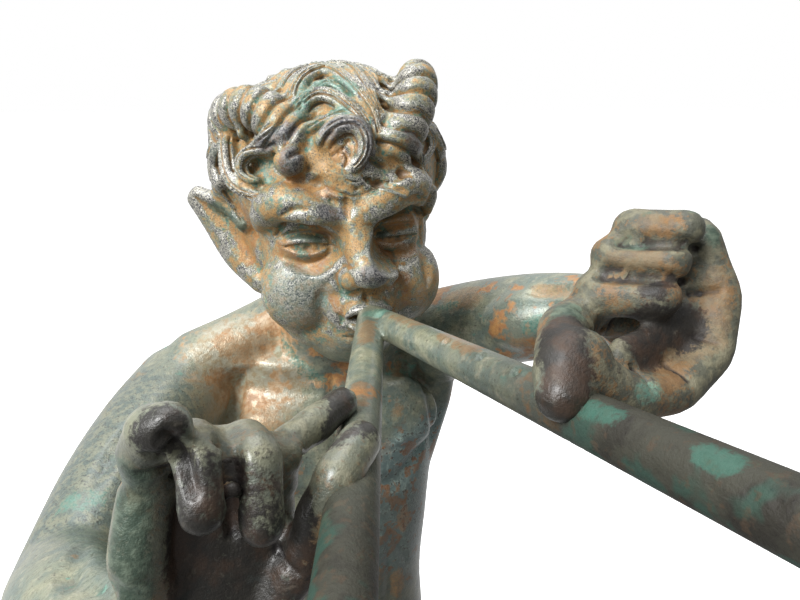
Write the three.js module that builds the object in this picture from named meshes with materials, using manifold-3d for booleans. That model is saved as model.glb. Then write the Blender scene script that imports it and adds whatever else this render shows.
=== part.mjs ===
// A small bronze satyr with goat's legs who blows a double pipe, on a low round plinth.
// Millimetres, +Z up. The satyr faces -Y, and his left is +X.
// The origin is the middle of the plinth's underside.
import * as THREE from "three";
import { mergeVertices } from "three/addons/utils/BufferGeometryUtils.js";
import Module from "manifold-3d";

const wasm = await Module();
wasm.setup();

// Driving dimensions
const PLINTH_HEIGHT = 12;
const PLINTH_RADIUS = 37;
const HEAD_CENTRE = new THREE.Vector3(2, -8.5, 193);
const HEAD_PITCH = THREE.MathUtils.degToRad(5);
const HEAD_ROLL = THREE.MathUtils.degToRad(-3);
const HEAD_YAW = THREE.MathUtils.degToRad(-7);
const MOUTH = new THREE.Vector3(2.6, -21, 180.9);
const PIPE_AIMS = [new THREE.Vector3(-10.2, -61.9, 180.2), new THREE.Vector3(7.3, -67.6, 186.9)];
const PIPE_LENGTH = 64;
const PIPE_MOUTH_RADIUS = 1.6;
const PIPE_BELL_RADIUS = 2.3;
const PIPE_BORE_RADIUS = 1.3;
const PIPE_CLEARANCE = 0.3;
const ELBOWS = [new THREE.Vector3(-31.2, -30, 160), new THREE.Vector3(34, -26, 179.6)];

const BRONZE = new THREE.MeshStandardMaterial({ color: 0x6f7464, roughness: 0.42, metalness: 0.75 });
const PIPE_BRONZE = new THREE.MeshStandardMaterial({ color: 0x77795f, roughness: 0.45, metalness: 0.7 });
const PLINTH_BRONZE = new THREE.MeshStandardMaterial({ color: 0x5d665a, roughness: 0.5, metalness: 0.7 });

const ACROSS = new THREE.Vector3(1, 0, 0);
const UP = new THREE.Vector3(0, 0, 1);

// One closed geometry as a solid that can be joined and cut.
function solidOf(geometry) {
  const bare = geometry.index ? geometry.toNonIndexed() : geometry.clone();
  bare.deleteAttribute("normal");
  bare.deleteAttribute("uv");
  const merged = mergeVertices(bare, 1e-4);
  return new wasm.Manifold(
    new wasm.Mesh({
      numProp: 3,
      vertProperties: merged.attributes.position.array,
      triVerts: new Uint32Array(merged.index.array),
    }),
  );
}

function joined(geometries) {
  return geometries.map(solidOf).reduce((whole, piece) => whole.add(piece));
}

function meshOf(solid, name, material) {
  const made = solid.getMesh();
  const geometry = new THREE.BufferGeometry();
  const corners = new Float32Array(made.numVert * 3);
  for (let i = 0; i < made.numVert; i++) {
    corners.set(made.vertProperties.subarray(i * made.numProp, i * made.numProp + 3), i * 3);
  }
  geometry.setAttribute("position", new THREE.BufferAttribute(corners, 3));
  geometry.setIndex(new THREE.BufferAttribute(new Uint32Array(made.triVerts), 1));
  geometry.computeVertexNormals();
  const mesh = new THREE.Mesh(geometry, material);
  mesh.name = name;
  return mesh;
}

// A rounded bar through stations [x, y, z, half width, half depth]. Its width lies along "side".
class Limb {
  constructor(stations, side = ACROSS) {
    this.centres = new THREE.CatmullRomCurve3(stations.map((s) => new THREE.Vector3(s[0], s[1], s[2])));
    this.halves = new THREE.CatmullRomCurve3(
      stations.map((s, i) => new THREE.Vector3(s[3], s[4] ?? s[3], i)),
    );
    this.side = side;
  }

  frame(t) {
    const along = this.centres.getTangent(t);
    const wide = this.side.clone().addScaledVector(along, -this.side.dot(along)).normalize();
    const deep = new THREE.Vector3().crossVectors(along, wide);
    const halves = this.halves.getPoint(t);
    return { centre: this.centres.getPoint(t), along, wide, deep, halfWide: halves.x, halfDeep: halves.y };
  }

  // The point on the surface at share t of the length and an angle round the bar, and the way out there.
  surface(t, angle) {
    const f = this.frame(t);
    const out = f.wide.clone().multiplyScalar(Math.cos(angle)).addScaledVector(f.deep, Math.sin(angle));
    const point = f.centre
      .clone()
      .addScaledVector(f.wide, f.halfWide * Math.cos(angle))
      .addScaledVector(f.deep, f.halfDeep * Math.sin(angle));
    return { point, out: out.normalize(), along: f.along };
  }

  // Rings at even shares of the length. A round end has one more ring before its pole.
  geometry(sides = 10, steps = 6, round = true) {
    const bend = Math.PI / 4;
    const rings = [{ t: 0, push: -1, shrink: 0 }];
    if (round) {
      rings.push({ t: 0, push: -Math.sin(bend), shrink: Math.cos(bend) });
    }
    for (let i = 0; i <= steps; i++) {
      rings.push({ t: i / steps, push: 0, shrink: 1 });
    }
    if (round) {
      rings.push({ t: 1, push: Math.sin(bend), shrink: Math.cos(bend) });
    }
    rings.push({ t: 1, push: 1, shrink: 0 });
    const shape = new THREE.LatheGeometry(
      rings.map((ring, k) => new THREE.Vector2(ring.shrink, k)),
      sides,
    );
    const corners = shape.attributes.position;
    for (let i = 0; i < corners.count; i++) {
      const ring = rings[Math.round(corners.getY(i))];
      const f = this.frame(ring.t);
      const reach = Math.min(f.halfWide, f.halfDeep);
      const corner = f.centre
        .clone()
        .addScaledVector(f.wide, f.halfWide * corners.getX(i))
        .addScaledVector(f.deep, -f.halfDeep * corners.getZ(i))
        .addScaledVector(f.along, reach * ring.push);
      corners.setXYZ(i, corner.x, corner.y, corner.z);
    }
    return shape;
  }

  // The bar covered with rows of pointed locks that overlap like slates.
  // Each row is half a lock on from the last.
  shaggy(count, rows, lift, from = 0, dome = 0.6) {
    const rings = [{ t: 0, pole: -dome }, { t: 0, rise: 0, notch: 0 }];
    const row = (1 - from) / rows;
    for (let i = 0; i < rows; i++) {
      const t = from + i * row;
      rings.push({ t: t + row * 0.3, rise: lift, notch: lift * 0.5 });
      rings.push({ t: t + row, rise: lift * 1.2, notch: -0.2 * lift, back: row * 0.6, odd: i % 2 });
      if (i < rows - 1) {
        rings.push({ t: t + row * 0.72, rise: -0.2 * lift, notch: -0.2 * lift });
      }
    }
    rings.push({ t: 1 - row * 0.3, rise: -lift, notch: -lift }, { t: 1, pole: dome * 0.3 });
    const shape = new THREE.LatheGeometry(
      rings.map((ring, k) => new THREE.Vector2("pole" in ring ? 0 : 1, k)),
      2 * count,
    );
    const corners = shape.attributes.position;
    for (let i = 0; i < corners.count; i++) {
      const ring = rings[i % rings.length];
      const turn = Math.floor(i / rings.length);
      const valley = turn % 2 !== (ring.odd ?? 0);
      const f = this.frame(ring.t);
      const reach = Math.min(f.halfWide, f.halfDeep);
      let corner = f.centre.clone().addScaledVector(f.along, reach * (ring.pole ?? 0));
      if (!("pole" in ring)) {
        const drawnBack = valley && ring.back;
        const angle = (Math.PI * turn) / count - Math.PI / 2;
        const spot = this.surface(drawnBack ? ring.t - ring.back : ring.t, angle);
        corner = spot.point.addScaledVector(spot.out, drawnBack ? ring.notch : ring.rise);
      }
      corners.setXYZ(i, corner.x, corner.y, corner.z);
    }
    return shape;
  }
}

function limb(stations, sides, steps, side) {
  return new Limb(stations, side).geometry(sides, steps);
}

function tapered(stations, sides, steps, side) {
  return new Limb(stations, side).geometry(sides, steps, false);
}

function blob(x, y, z, rx, ry = rx, rz = rx, sides = 10, rings = 7) {
  return new THREE.SphereGeometry(1, sides, rings).rotateX(Math.PI / 2).scale(rx, ry, rz).translate(x, y, z);
}

function pairOf(make) {
  return [-1, 1].flatMap((s) => make(s));
}

// Body

function torso() {
  return [
    limb(
      [
        [2, 0, 98, 11, 8.5],
        [2, 0, 108, 14.6, 10.6],
        [2.3, -0.5, 118, 14.2, 10],
        [2.4, -1.5, 130, 12.6, 8.8],
        [1.9, -1.8, 141, 13.9, 9.4],
        [1, -0.8, 151, 16.6, 10.4],
        [0.2, 0.2, 160, 18, 10.2],
        [-0.2, 0.6, 167, 14.6, 7.6],
      ],
      12,
      6,
    ),
    blob(0, 2.6, 168.4, 11, 6.4, 7, 9, 5),
    limb([[-0.6, 1, 164, 9, 7], [0, -1, 172, 7.2, 6.8], [1, -4, 182, 6.6, 6.8]], 9, 2),
    ...pairOf((s) => [
      limb(
        [
          [s * 3, 0.5, 176, 4, 4],
          [s * 9.4, 1, 172.6 + s * 0.4, 4.6, 5],
          [s * 17.4, 0.5, 169.4 + s * 0.4, 5, 5.2],
        ],
        6,
        2,
      ),
      blob(s * 8.4 + 0.5, -7.2, 157.5 + s, 8.6, 4.4, 6.6, 8, 5),
      blob(s * 8.4 + 0.4, 6.4, 161 + s, 8, 4.6, 8.4, 6, 5),
      blob(s * 12 + 1.2, 2.4, 153, 5.2, 7, 11, 7, 4),
    ]),
    blob(2.2, -7.8, 138, 6.4, 2.9, 10.6, 7, 5),
  ];
}

// One arm: the upper arm swells at the shoulder, and the forearm below its elbow.
function arm(shoulder, elbow, wrist, shoulderThick, elbowThick, wristThick) {
  const bar = (from, to, bulge, thick) => {
    const at = (t) =>
      new THREE.Vector3().lerpVectors(from, to, t).addScaledVector(bulge, Math.sin(Math.PI * t));
    return limb(
      thick.map((r, i) => [...at(i / (thick.length - 1)).toArray(), r]),
      8,
      4,
    );
  };
  const s = Math.sign(shoulder.x);
  const upper = [
    shoulderThick,
    (shoulderThick + elbowThick) / 2 + 0.5,
    (shoulderThick + 2 * elbowThick) / 3 + 0.1,
    elbowThick,
  ];
  const fore = [elbowThick, elbowThick + 0.4, (elbowThick + wristThick) / 2 + 0.1, wristThick];
  return [
    bar(shoulder, elbow, new THREE.Vector3(s * 1.2, 1.6, 0.6), upper),
    bar(elbow, wrist, new THREE.Vector3(s * 2.6, -1.4, -0.8), fore),
  ];
}

function arms() {
  const shoulders = [new THREE.Vector3(-19.6, 0.5, 164.6), new THREE.Vector3(19, -0.5, 169.6)];
  return [
    ...arm(shoulders[0], ELBOWS[0], new THREE.Vector3(-18.6, -52.2, 170), 7.7, 5.3, 3.7),
    ...arm(shoulders[1], ELBOWS[1], new THREE.Vector3(24.4, -47.4, 187.2), 7.6, 5, 3.2),
  ];
}

// A finger runs through its knuckles to its tip, where it thins.
function finger(thick, ...knuckles) {
  const last = knuckles.length - 1;
  return limb(
    knuckles.map((k, i) => [...k, thick * (i === last ? 0.86 : 1)]),
    5,
    last,
    UP,
  );
}

function rightHand() {
  return [
    limb(
      [
        [-18.4, -52.4, 170.2, 3.8, 3.2],
        [-17, -52.4, 174.4, 5, 2.4],
        [-16.4, -51.8, 179.4, 5.2, 2],
        [-16.6, -51.8, 183, 4.4, 1.7],
      ],
      8,
      3,
    ),
    finger(1.9, [-20.6, -53, 173], [-21.4, -54.4, 177.6], [-20.6, -54, 182.4]),
    finger(
      1.7,
      [-14, -54, 172],
      [-11.4, -54.4, 176],
      [-10.2, -54.8, 179.4],
      [-8.8, -54.4, 181.8],
      [-6.8, -52.2, 182.8],
    ),
    finger(1.55, [-20.2, -54, 182.8], [-20.2, -55.1, 186], [-19.5, -56.3, 187.9], [-18.6, -57.2, 188.5]),
    finger(1.3, [-17.6, -52.3, 183], [-17.6, -53.9, 185.5], [-17.2, -56.7, 186.1], [-17.3, -58.2, 183.6]),
    finger(1.3, [-14.8, -52, 182.2], [-14.5, -53.2, 184.6], [-14, -55.9, 184.9], [-14.1, -57.6, 181.6]),
    finger(1.4, [-12.4, -51.6, 180.6], [-11.8, -50.8, 182.4], [-9.2, -48.4, 182.6], [-6.6, -46, 182.8]),
  ];
}

function leftHand() {
  return [
    limb(
      [
        [24.8, -48.2, 187.2, 3.2, 2.8],
        [22.4, -50.2, 188.6, 5, 1.8],
        [18.4, -49.8, 190, 5.2, 1.8],
        [15.6, -48.9, 191, 4.4, 1.6],
      ],
      8,
      3,
      UP,
    ),
    finger(
      2.2,
      [20.8, -51, 194.4],
      [20.4, -53.2, 191],
      [18.8, -55, 188],
      [15.2, -56, 186.6],
      [11.6, -57, 187.1],
      [8.9, -57, 189.4],
    ),
    finger(
      1.75,
      [18.3, -50.8, 188.6],
      [13.5, -49.3, 189.2],
      [9.2, -51.6, 189.2],
      [6.6, -55.6, 189.2],
      [4.6, -58.6, 187],
    ),
    finger(1.4, [20, -51.3, 190.6], [14.9, -49, 190.9], [12.6, -50.6, 191.2], [15.1, -54.1, 191.7]),
    finger(1.4, [20.6, -50.7, 193.1], [16.1, -48.7, 193.5], [13.9, -50.2, 193.9], [16.1, -53.7, 194.2]),
    finger(1.4, [21.2, -50.3, 195.1], [17.1, -48.9, 195.6], [15.4, -50.4, 196], [17.4, -53.3, 196.4]),
  ];
}

// Head, in its own frame: the middle of the skull is the origin, and the face looks along -Y.
const HEAD_FRAME = new THREE.Matrix4().compose(
  HEAD_CENTRE,
  new THREE.Quaternion().setFromEuler(new THREE.Euler(HEAD_PITCH, HEAD_ROLL, HEAD_YAW, "ZYX")),
  new THREE.Vector3(1, 1, 1),
);

function face() {
  return [
    limb(
      [
        [0, -0.4, 7, 5.4, 7.6],
        [0, -1.4, 2, 10.2, 10.7],
        [0, -1.6, -3, 10.4, 10.3],
        [0, -2.2, -8, 10, 10.4],
        [0, -3.6, -12.4, 8.2, 8.4],
        [0, -5.4, -15.2, 4.4, 5.2],
      ],
      11,
      5,
    ),
    blob(0, -9.2, -14.2, 3.4, 2.8, 2.8, 7, 4),
    blob(0, -10.8, -10.2, 4.6, 2.8, 4.2, 7, 5),
    limb([[0, -11.4, 1.4, 1.3, 1.4], [0, -13, -1.8, 1.35, 1.6], [0, -14.8, -4.9, 1.9, 1.9]], 7, 2),
    tapered([[-2.8, -12.2, -10.2, 0.9], [0, -13.6, -9.5, 1.1], [2.8, -12.2, -10.2, 0.9]], 5, 2, UP),
    tapered([[-2.3, -12, -12, 0.9], [0, -13.2, -12.6, 1.1], [2.3, -12, -12, 0.9]], 5, 2, UP),
    ...pairOf((s) => [
      blob(s * 6.8, -6.8, -8.2, 4.6, 4.6, 5.4, 8, 5),
      blob(s * 2.1, -13, -6.4, 1.5, 1.8, 1.4, 6, 4),
      blob(s * 5.4, -9.6, -2.4, 2.4, 2.1, 1.9, 7, 5),
      tapered(
        [
          [s * 1.3, -12.2, 0.6, 1.2, 1.3],
          [s * 4.8, -11.9, 2.6, 1.3, 1.4],
          [s * 9.2, -8.8, 0.8, 1, 1.1],
        ],
        5,
        2,
        UP,
      ),
    ]),
    ear(-1, [-10.6, -1.4, -9.6], [-12.6, 0.4, -6], [-15, 2.2, -2], [-18.3, 4, 1.2]),
    ear(1, [10.4, -0.6, -9], [11.6, 1.6, -5], [12.6, 4.4, -0.6], [13.6, 7.2, 3.6]),
  ];
}

// A goat's pointed ear: a leaf that stands out and back from the head, widest below its middle.
function ear(s, ...spine) {
  const wide = [0.9, 1, 0.9, 0.5];
  const deep = [1.6, 3.2, 3, 0.7];
  return tapered(
    spine.map((p, i) => [...p, wide[i], deep[i]]),
    6,
    4,
    new THREE.Vector3(s * 0.55, -0.8, 0),
  );
}

// A ridged horn. The stations give its bend, and it thins towards the tip.
const HORN_RINGS = 5;
function horn(points) {
  const path = new THREE.CatmullRomCurve3(points.map((p) => new THREE.Vector3(...p)));
  const stations = [];
  for (let i = 0; i <= 2 * HORN_RINGS; i++) {
    const t = i / (2 * HORN_RINGS);
    const thick = THREE.MathUtils.lerp(2.3, 1.6, t * t) * (i % 2 ? 1.08 : 0.9);
    stations.push([...path.getPoint(t).toArray(), thick]);
  }
  return limb(stations, 6, 2 * HORN_RINGS);
}

// Locks of hair wind inwards on an egg-shaped cap of hair.
const CAP = { centre: new THREE.Vector3(0, 1.8, 4.2), radii: new THREE.Vector3(13.6, 13.2, 11.2) };

function curl(longitude, latitude, reach, start, sweep, thick) {
  const lon = THREE.MathUtils.degToRad(longitude);
  const lat = THREE.MathUtils.degToRad(latitude);
  const way = new THREE.Vector3(Math.sin(lon) * Math.cos(lat), -Math.cos(lon) * Math.cos(lat), Math.sin(lat));
  const middle = way.clone().multiply(CAP.radii).add(CAP.centre);
  const out = way.clone().divide(CAP.radii).normalize();
  const right = new THREE.Vector3().crossVectors(UP, out).normalize();
  const above = new THREE.Vector3().crossVectors(out, right);
  const steps = 4;
  const stations = [];
  for (let i = 0; i <= steps; i++) {
    const t = i / steps;
    const angle = THREE.MathUtils.degToRad(start + sweep * t);
    const far = reach * THREE.MathUtils.lerp(1, 0.25, t);
    const point = middle
      .clone()
      .addScaledVector(right, far * Math.cos(angle))
      .addScaledVector(above, far * Math.sin(angle))
      .addScaledVector(out, 0.5 * t - 0.04 * far * far);
    stations.push([...point.toArray(), thick * THREE.MathUtils.lerp(1, 0.8, t)]);
  }
  return tapered(stations, 4, steps, out);
}

function knob(longitude, latitude, size) {
  const lon = THREE.MathUtils.degToRad(longitude);
  const lat = THREE.MathUtils.degToRad(latitude);
  const way = new THREE.Vector3(Math.sin(lon) * Math.cos(lat), -Math.cos(lon) * Math.cos(lat), Math.sin(lat));
  const at = way.multiply(CAP.radii).add(CAP.centre);
  return blob(at.x, at.y, at.z, size, size, size, 7, 5);
}

function hair() {
  return [
    new Limb([
      [0, 1, 14.4, 5, 5],
      [0, 1.4, 11.6, 10, 10],
      [0, 1.8, 6, 12.8, 12.2],
      [0, 2.6, 1, 12.4, 11],
      [0, 4, -4, 10.2, 8.8],
      [0, 5, -9, 7.4, 6.6],
    ]).shaggy(7, 4, 1.5),
    curl(1, 25, 3, 165, -300, 1.8),
    curl(-6, 46, 6, 215, -240, 2),
    curl(-34, 34, 2.8, 30, -260, 1.6),
    knob(-27, 17, 2),
    curl(-45, 14, 2.6, 100, 260, 1.5),
    curl(31, 24, 2.6, 160, -260, 1.6),
    curl(0, 6, 2.8, 205, 130, 1.2),
    curl(60, 20, 3, 120, -280, 1.7),
    curl(-72, 14, 3, 60, 280, 1.7),
  ];
}

// Goat's legs, as thigh, shank with its hock behind, and cloven hoof

function legLimbs(s) {
  const step = s > 0 ? -7 : 4;
  const hip = 2 + s * 6.8;
  const foot = 2 + s * 10.5;
  const knee = [foot, -8 + step, 70];
  const hock = [foot, 7.6 + step, 42];
  return {
    thigh: new Limb([
      [hip, 0.5, 108, 9.5, 10.5],
      [hip + s, -2 + step * 0.3, 96, 9.2, 10.4],
      [foot - s, -6 + step * 0.7, 82, 7.2, 8.6],
      [...knee, 5.8, 6.2],
    ]),
    shank: new Limb([
      [...knee, 5.8, 6],
      [foot, -2 + step, 60, 5.2, 5.8],
      [foot, 4.6 + step, 49, 3.9, 4.4],
      [...hock, 3.2, 3.8],
    ]),
    cannon: new Limb([
      [...hock, 3.2, 3.8],
      [foot, 4.4 + step, 32, 2.9, 3.1],
      [foot, 1 + step, 22, 3.3, 3.4],
      [foot, 0.4 + step, 17, 3, 3.2],
    ]),
    foot,
    step,
  };
}

function hoof(x, y) {
  const bottom = PLINTH_HEIGHT;
  const toe = (s) => {
    const outline = new THREE.Shape();
    outline.moveTo(-5.4, 0);
    outline.lineTo(3.4, 0);
    outline.lineTo(3, 4.6);
    outline.lineTo(1.4, 8.4);
    outline.lineTo(-2.2, 8.2);
    outline.closePath();
    const block = new THREE.ExtrudeGeometry(outline, {
      depth: 2.2,
      bevelEnabled: true,
      bevelThickness: 0.8,
      bevelSize: 0.6,
      bevelOffset: -0.6,
      bevelSegments: 1,
    });
    return block
      .rotateX(Math.PI / 2)
      .rotateZ(Math.PI / 2)
      .translate(x + s * 2.1 - 1.1, y + 1, bottom);
  };
  return [toe(-1), toe(1)];
}

function leg(s) {
  const { thigh, shank, cannon, foot, step } = legLimbs(s);
  return [
    thigh.shaggy(6, 3, 1.7),
    shank.shaggy(4, 3, 1.4),
    cannon.shaggy(4, 2, 1.2, 0.2),
    ...hoof(foot, step),
  ];
}

function hips() {
  return new Limb([
    [2.3, -0.3, 119, 14, 9.8],
    [2, 1, 110, 14.6, 11.4],
    [2, 1.4, 98.4, 12.6, 10.6],
  ]).shaggy(9, 2, 1.8);
}

function tail() {
  return limb([[2, 9, 110, 2.4], [2, 13.5, 112.5, 2.2], [2, 17, 116.5, 1.7], [2, 17.6, 121, 0.9]], 6, 3);
}

// Double pipe

function pipeFrames() {
  return PIPE_AIMS.map((aim) => {
    const turn = new THREE.Quaternion().setFromUnitVectors(UP, aim.clone().sub(MOUTH).normalize());
    return new THREE.Matrix4().compose(MOUTH, turn, new THREE.Vector3(1, 1, 1));
  });
}

// The outside of one pipe along +Z: a plain tapering tube with a narrow lip round its bell.
function pipeTube(extra) {
  const lip = 2.2;
  return new THREE.LatheGeometry(
    [
      [0, -extra],
      [PIPE_MOUTH_RADIUS + extra, -extra],
      [PIPE_BELL_RADIUS - 0.3 + extra, PIPE_LENGTH - lip],
      [PIPE_BELL_RADIUS + 0.35 + extra, PIPE_LENGTH - lip * 0.7],
      [PIPE_BELL_RADIUS + 0.35 + extra, PIPE_LENGTH + extra],
      [0, PIPE_LENGTH + extra],
    ].map(([r, z]) => new THREE.Vector2(r, z)),
    10,
  ).rotateX(Math.PI / 2);
}

// The hollow that shows in the bell end of a pipe.
function pipeBore() {
  return new THREE.LatheGeometry(
    [
      [0, PIPE_LENGTH - 12],
      [PIPE_BORE_RADIUS, PIPE_LENGTH - 12],
      [PIPE_BORE_RADIUS + 0.5, PIPE_LENGTH + 1],
      [0, PIPE_LENGTH + 1],
    ].map(([r, z]) => new THREE.Vector2(r, z)),
    8,
  ).rotateX(Math.PI / 2);
}

function pipes(extra) {
  return pipeFrames().map((frame) => solidOf(pipeTube(extra).applyMatrix4(frame)));
}

// Assembly

const head = [
  ...face(),
  ...hair(),
  horn([[-5.4, -7.6, 9.8], [-8.6, -4.6, 12.2], [-11.8, -0.6, 11.4], [-13, 2.6, 8]]),
  horn([[6.6, -8, 8], [8.8, -6, 12], [10, -2, 14.8], [10.6, 3, 13.6]]),
].map((g) => g.applyMatrix4(HEAD_FRAME));
const space = pipes(PIPE_CLEARANCE).reduce((whole, piece) => whole.add(piece));
const body = joined([
  ...torso(),
  ...arms(),
  ...rightHand(),
  ...leftHand(),
  ...head,
  ...pairOf((s) => leg(s)),
  hips(),
  tail(),
]).subtract(space);

const bores = pipeFrames().map((frame) => solidOf(pipeBore().applyMatrix4(frame)));
const tubes = pipes(0).reduce((whole, piece) => whole.add(piece));
const doublePipe = bores.reduce((whole, bore) => whole.subtract(bore), tubes);

const plinth = solidOf(
  new THREE.LatheGeometry(
    [
      [0, 0],
      [PLINTH_RADIUS, 0],
      [PLINTH_RADIUS, 2.6],
      [PLINTH_RADIUS - 2.4, 3.6],
      [PLINTH_RADIUS - 3.4, 6.4],
      [PLINTH_RADIUS - 2.2, 9.4],
      [PLINTH_RADIUS - 2.2, PLINTH_HEIGHT],
      [0, PLINTH_HEIGHT],
    ].map(([r, z]) => new THREE.Vector2(r, z)),
    28,
  ).rotateX(Math.PI / 2),
);

const statuette = new THREE.Group();
statuette.add(meshOf(body, "satyr_figure", BRONZE));
statuette.add(meshOf(doublePipe, "double_pipe", PIPE_BRONZE));
statuette.add(meshOf(plinth, "plinth", PLINTH_BRONZE));
export default statuette;
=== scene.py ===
"""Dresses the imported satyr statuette: the bronze figure, its double pipe and its plinth.

Lengths are millimetres while a piece is modelled, and metres once it is finished.
"""
import logging
import math
from dataclasses import dataclass, field
from enum import Enum
from typing import Any, Callable, Sequence

import bmesh
import bpy
import numpy as np
from mathutils import Euler, Matrix, Vector
from mathutils.bvhtree import BVHTree


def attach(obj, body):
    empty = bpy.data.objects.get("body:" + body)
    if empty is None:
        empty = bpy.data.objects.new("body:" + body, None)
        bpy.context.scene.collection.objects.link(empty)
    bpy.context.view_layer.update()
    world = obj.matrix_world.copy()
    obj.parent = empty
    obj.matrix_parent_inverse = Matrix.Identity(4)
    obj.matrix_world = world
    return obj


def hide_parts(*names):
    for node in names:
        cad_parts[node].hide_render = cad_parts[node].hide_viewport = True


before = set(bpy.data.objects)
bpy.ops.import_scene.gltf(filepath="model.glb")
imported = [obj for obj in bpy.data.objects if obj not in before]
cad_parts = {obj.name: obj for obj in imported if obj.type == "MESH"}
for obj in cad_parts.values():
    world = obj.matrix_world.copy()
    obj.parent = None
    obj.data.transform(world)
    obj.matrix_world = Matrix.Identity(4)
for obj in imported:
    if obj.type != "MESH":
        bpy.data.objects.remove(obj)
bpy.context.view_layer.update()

METRE = 1000.0  # millimetres
log = logging.getLogger("satyr")

Array = np.ndarray
Piece = bpy.types.Object
Lump = bmesh.types.BMesh
Numbers = Sequence[float]
Points = Sequence[Numbers]
Place = tuple[float, float, float]
Shade = tuple[int, int, int]
Stain = tuple[Points, float]
Region = Callable[[Array], Array]
SIDES = (-1, 1)  # his right, then his left


def smoothstep(low: float, high: float, value: Array) -> Array:
    """A soft step from 0 at low to 1 at high.

    Args:
        low: Where the step starts.
        high: Where it ends.
        value: The values.

    Returns:
        The steps.
    """
    t = np.clip((value - low) / (high - low), 0, 1)
    return t * t * (3 - 2 * t)


def curve_through(points: Points, shares: Array) -> Array:
    """Points on a smooth line through the given ones.

    Args:
        points: What the line passes through.
        shares: Where to read it, from 0 to 1.

    Returns:
        One row for each share.
    """
    given = np.asarray(points, float)
    padded = np.vstack([2 * given[0] - given[1], given, 2 * given[-1] - given[-2]])
    spans = len(given) - 1
    place = np.clip(shares, 0, 1) * spans
    span = np.minimum(place.astype(int), spans - 1)
    u = (place - span)[:, None]
    a, b, c, d = (padded[span + k] for k in range(4))
    bend = 2 * a - 5 * b + 4 * c - d
    return 0.5 * (2 * b + (c - a) * u + bend * u**2 + (3 * b - a - 3 * c + d) * u**3)


def unit(vectors: Array) -> Array:
    """The vectors at length one."""
    return vectors / np.maximum(np.linalg.norm(vectors, axis=-1, keepdims=True), 1e-9)


@dataclass(frozen=True)
class Pose:
    """A part's own frame in the statuette's frame.

    Attributes:
        centre: Where the part's origin lies.
        pitch: Its turn about X, in degrees.
        roll: Its turn about Y, in degrees.
        yaw: Its turn about Z, in degrees.
    """

    centre: Place
    pitch: float = 0.0
    roll: float = 0.0
    yaw: float = 0.0

    @property
    def turn(self) -> Array:
        """The rotation as a 3 by 3 matrix."""
        angles = [math.radians(a) for a in (self.pitch, self.roll, self.yaw)]
        return np.array(Euler(angles, "XYZ").to_matrix())

    def out(self, points: Array) -> Array:
        """Points of the part's frame, seen in the statuette's."""
        return np.asarray(points, float) @ self.turn.T + np.array(self.centre)

    def into(self, points: Array) -> Array:
        """Points of the statuette's frame, seen in the part's."""
        return (np.asarray(points, float) - np.array(self.centre)) @ self.turn


HEAD = Pose(centre=(2.0, -8.5, 193.0), pitch=5, roll=-3, yaw=-7)
WORLD = Pose(centre=(0.0, 0.0, 0.0))
MOUTH = np.array([2.6, -21.0, 180.9])
PIPE_AIMS = (np.array([-10.2, -61.9, 180.2]), np.array([7.3, -67.6, 186.9]))


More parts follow.
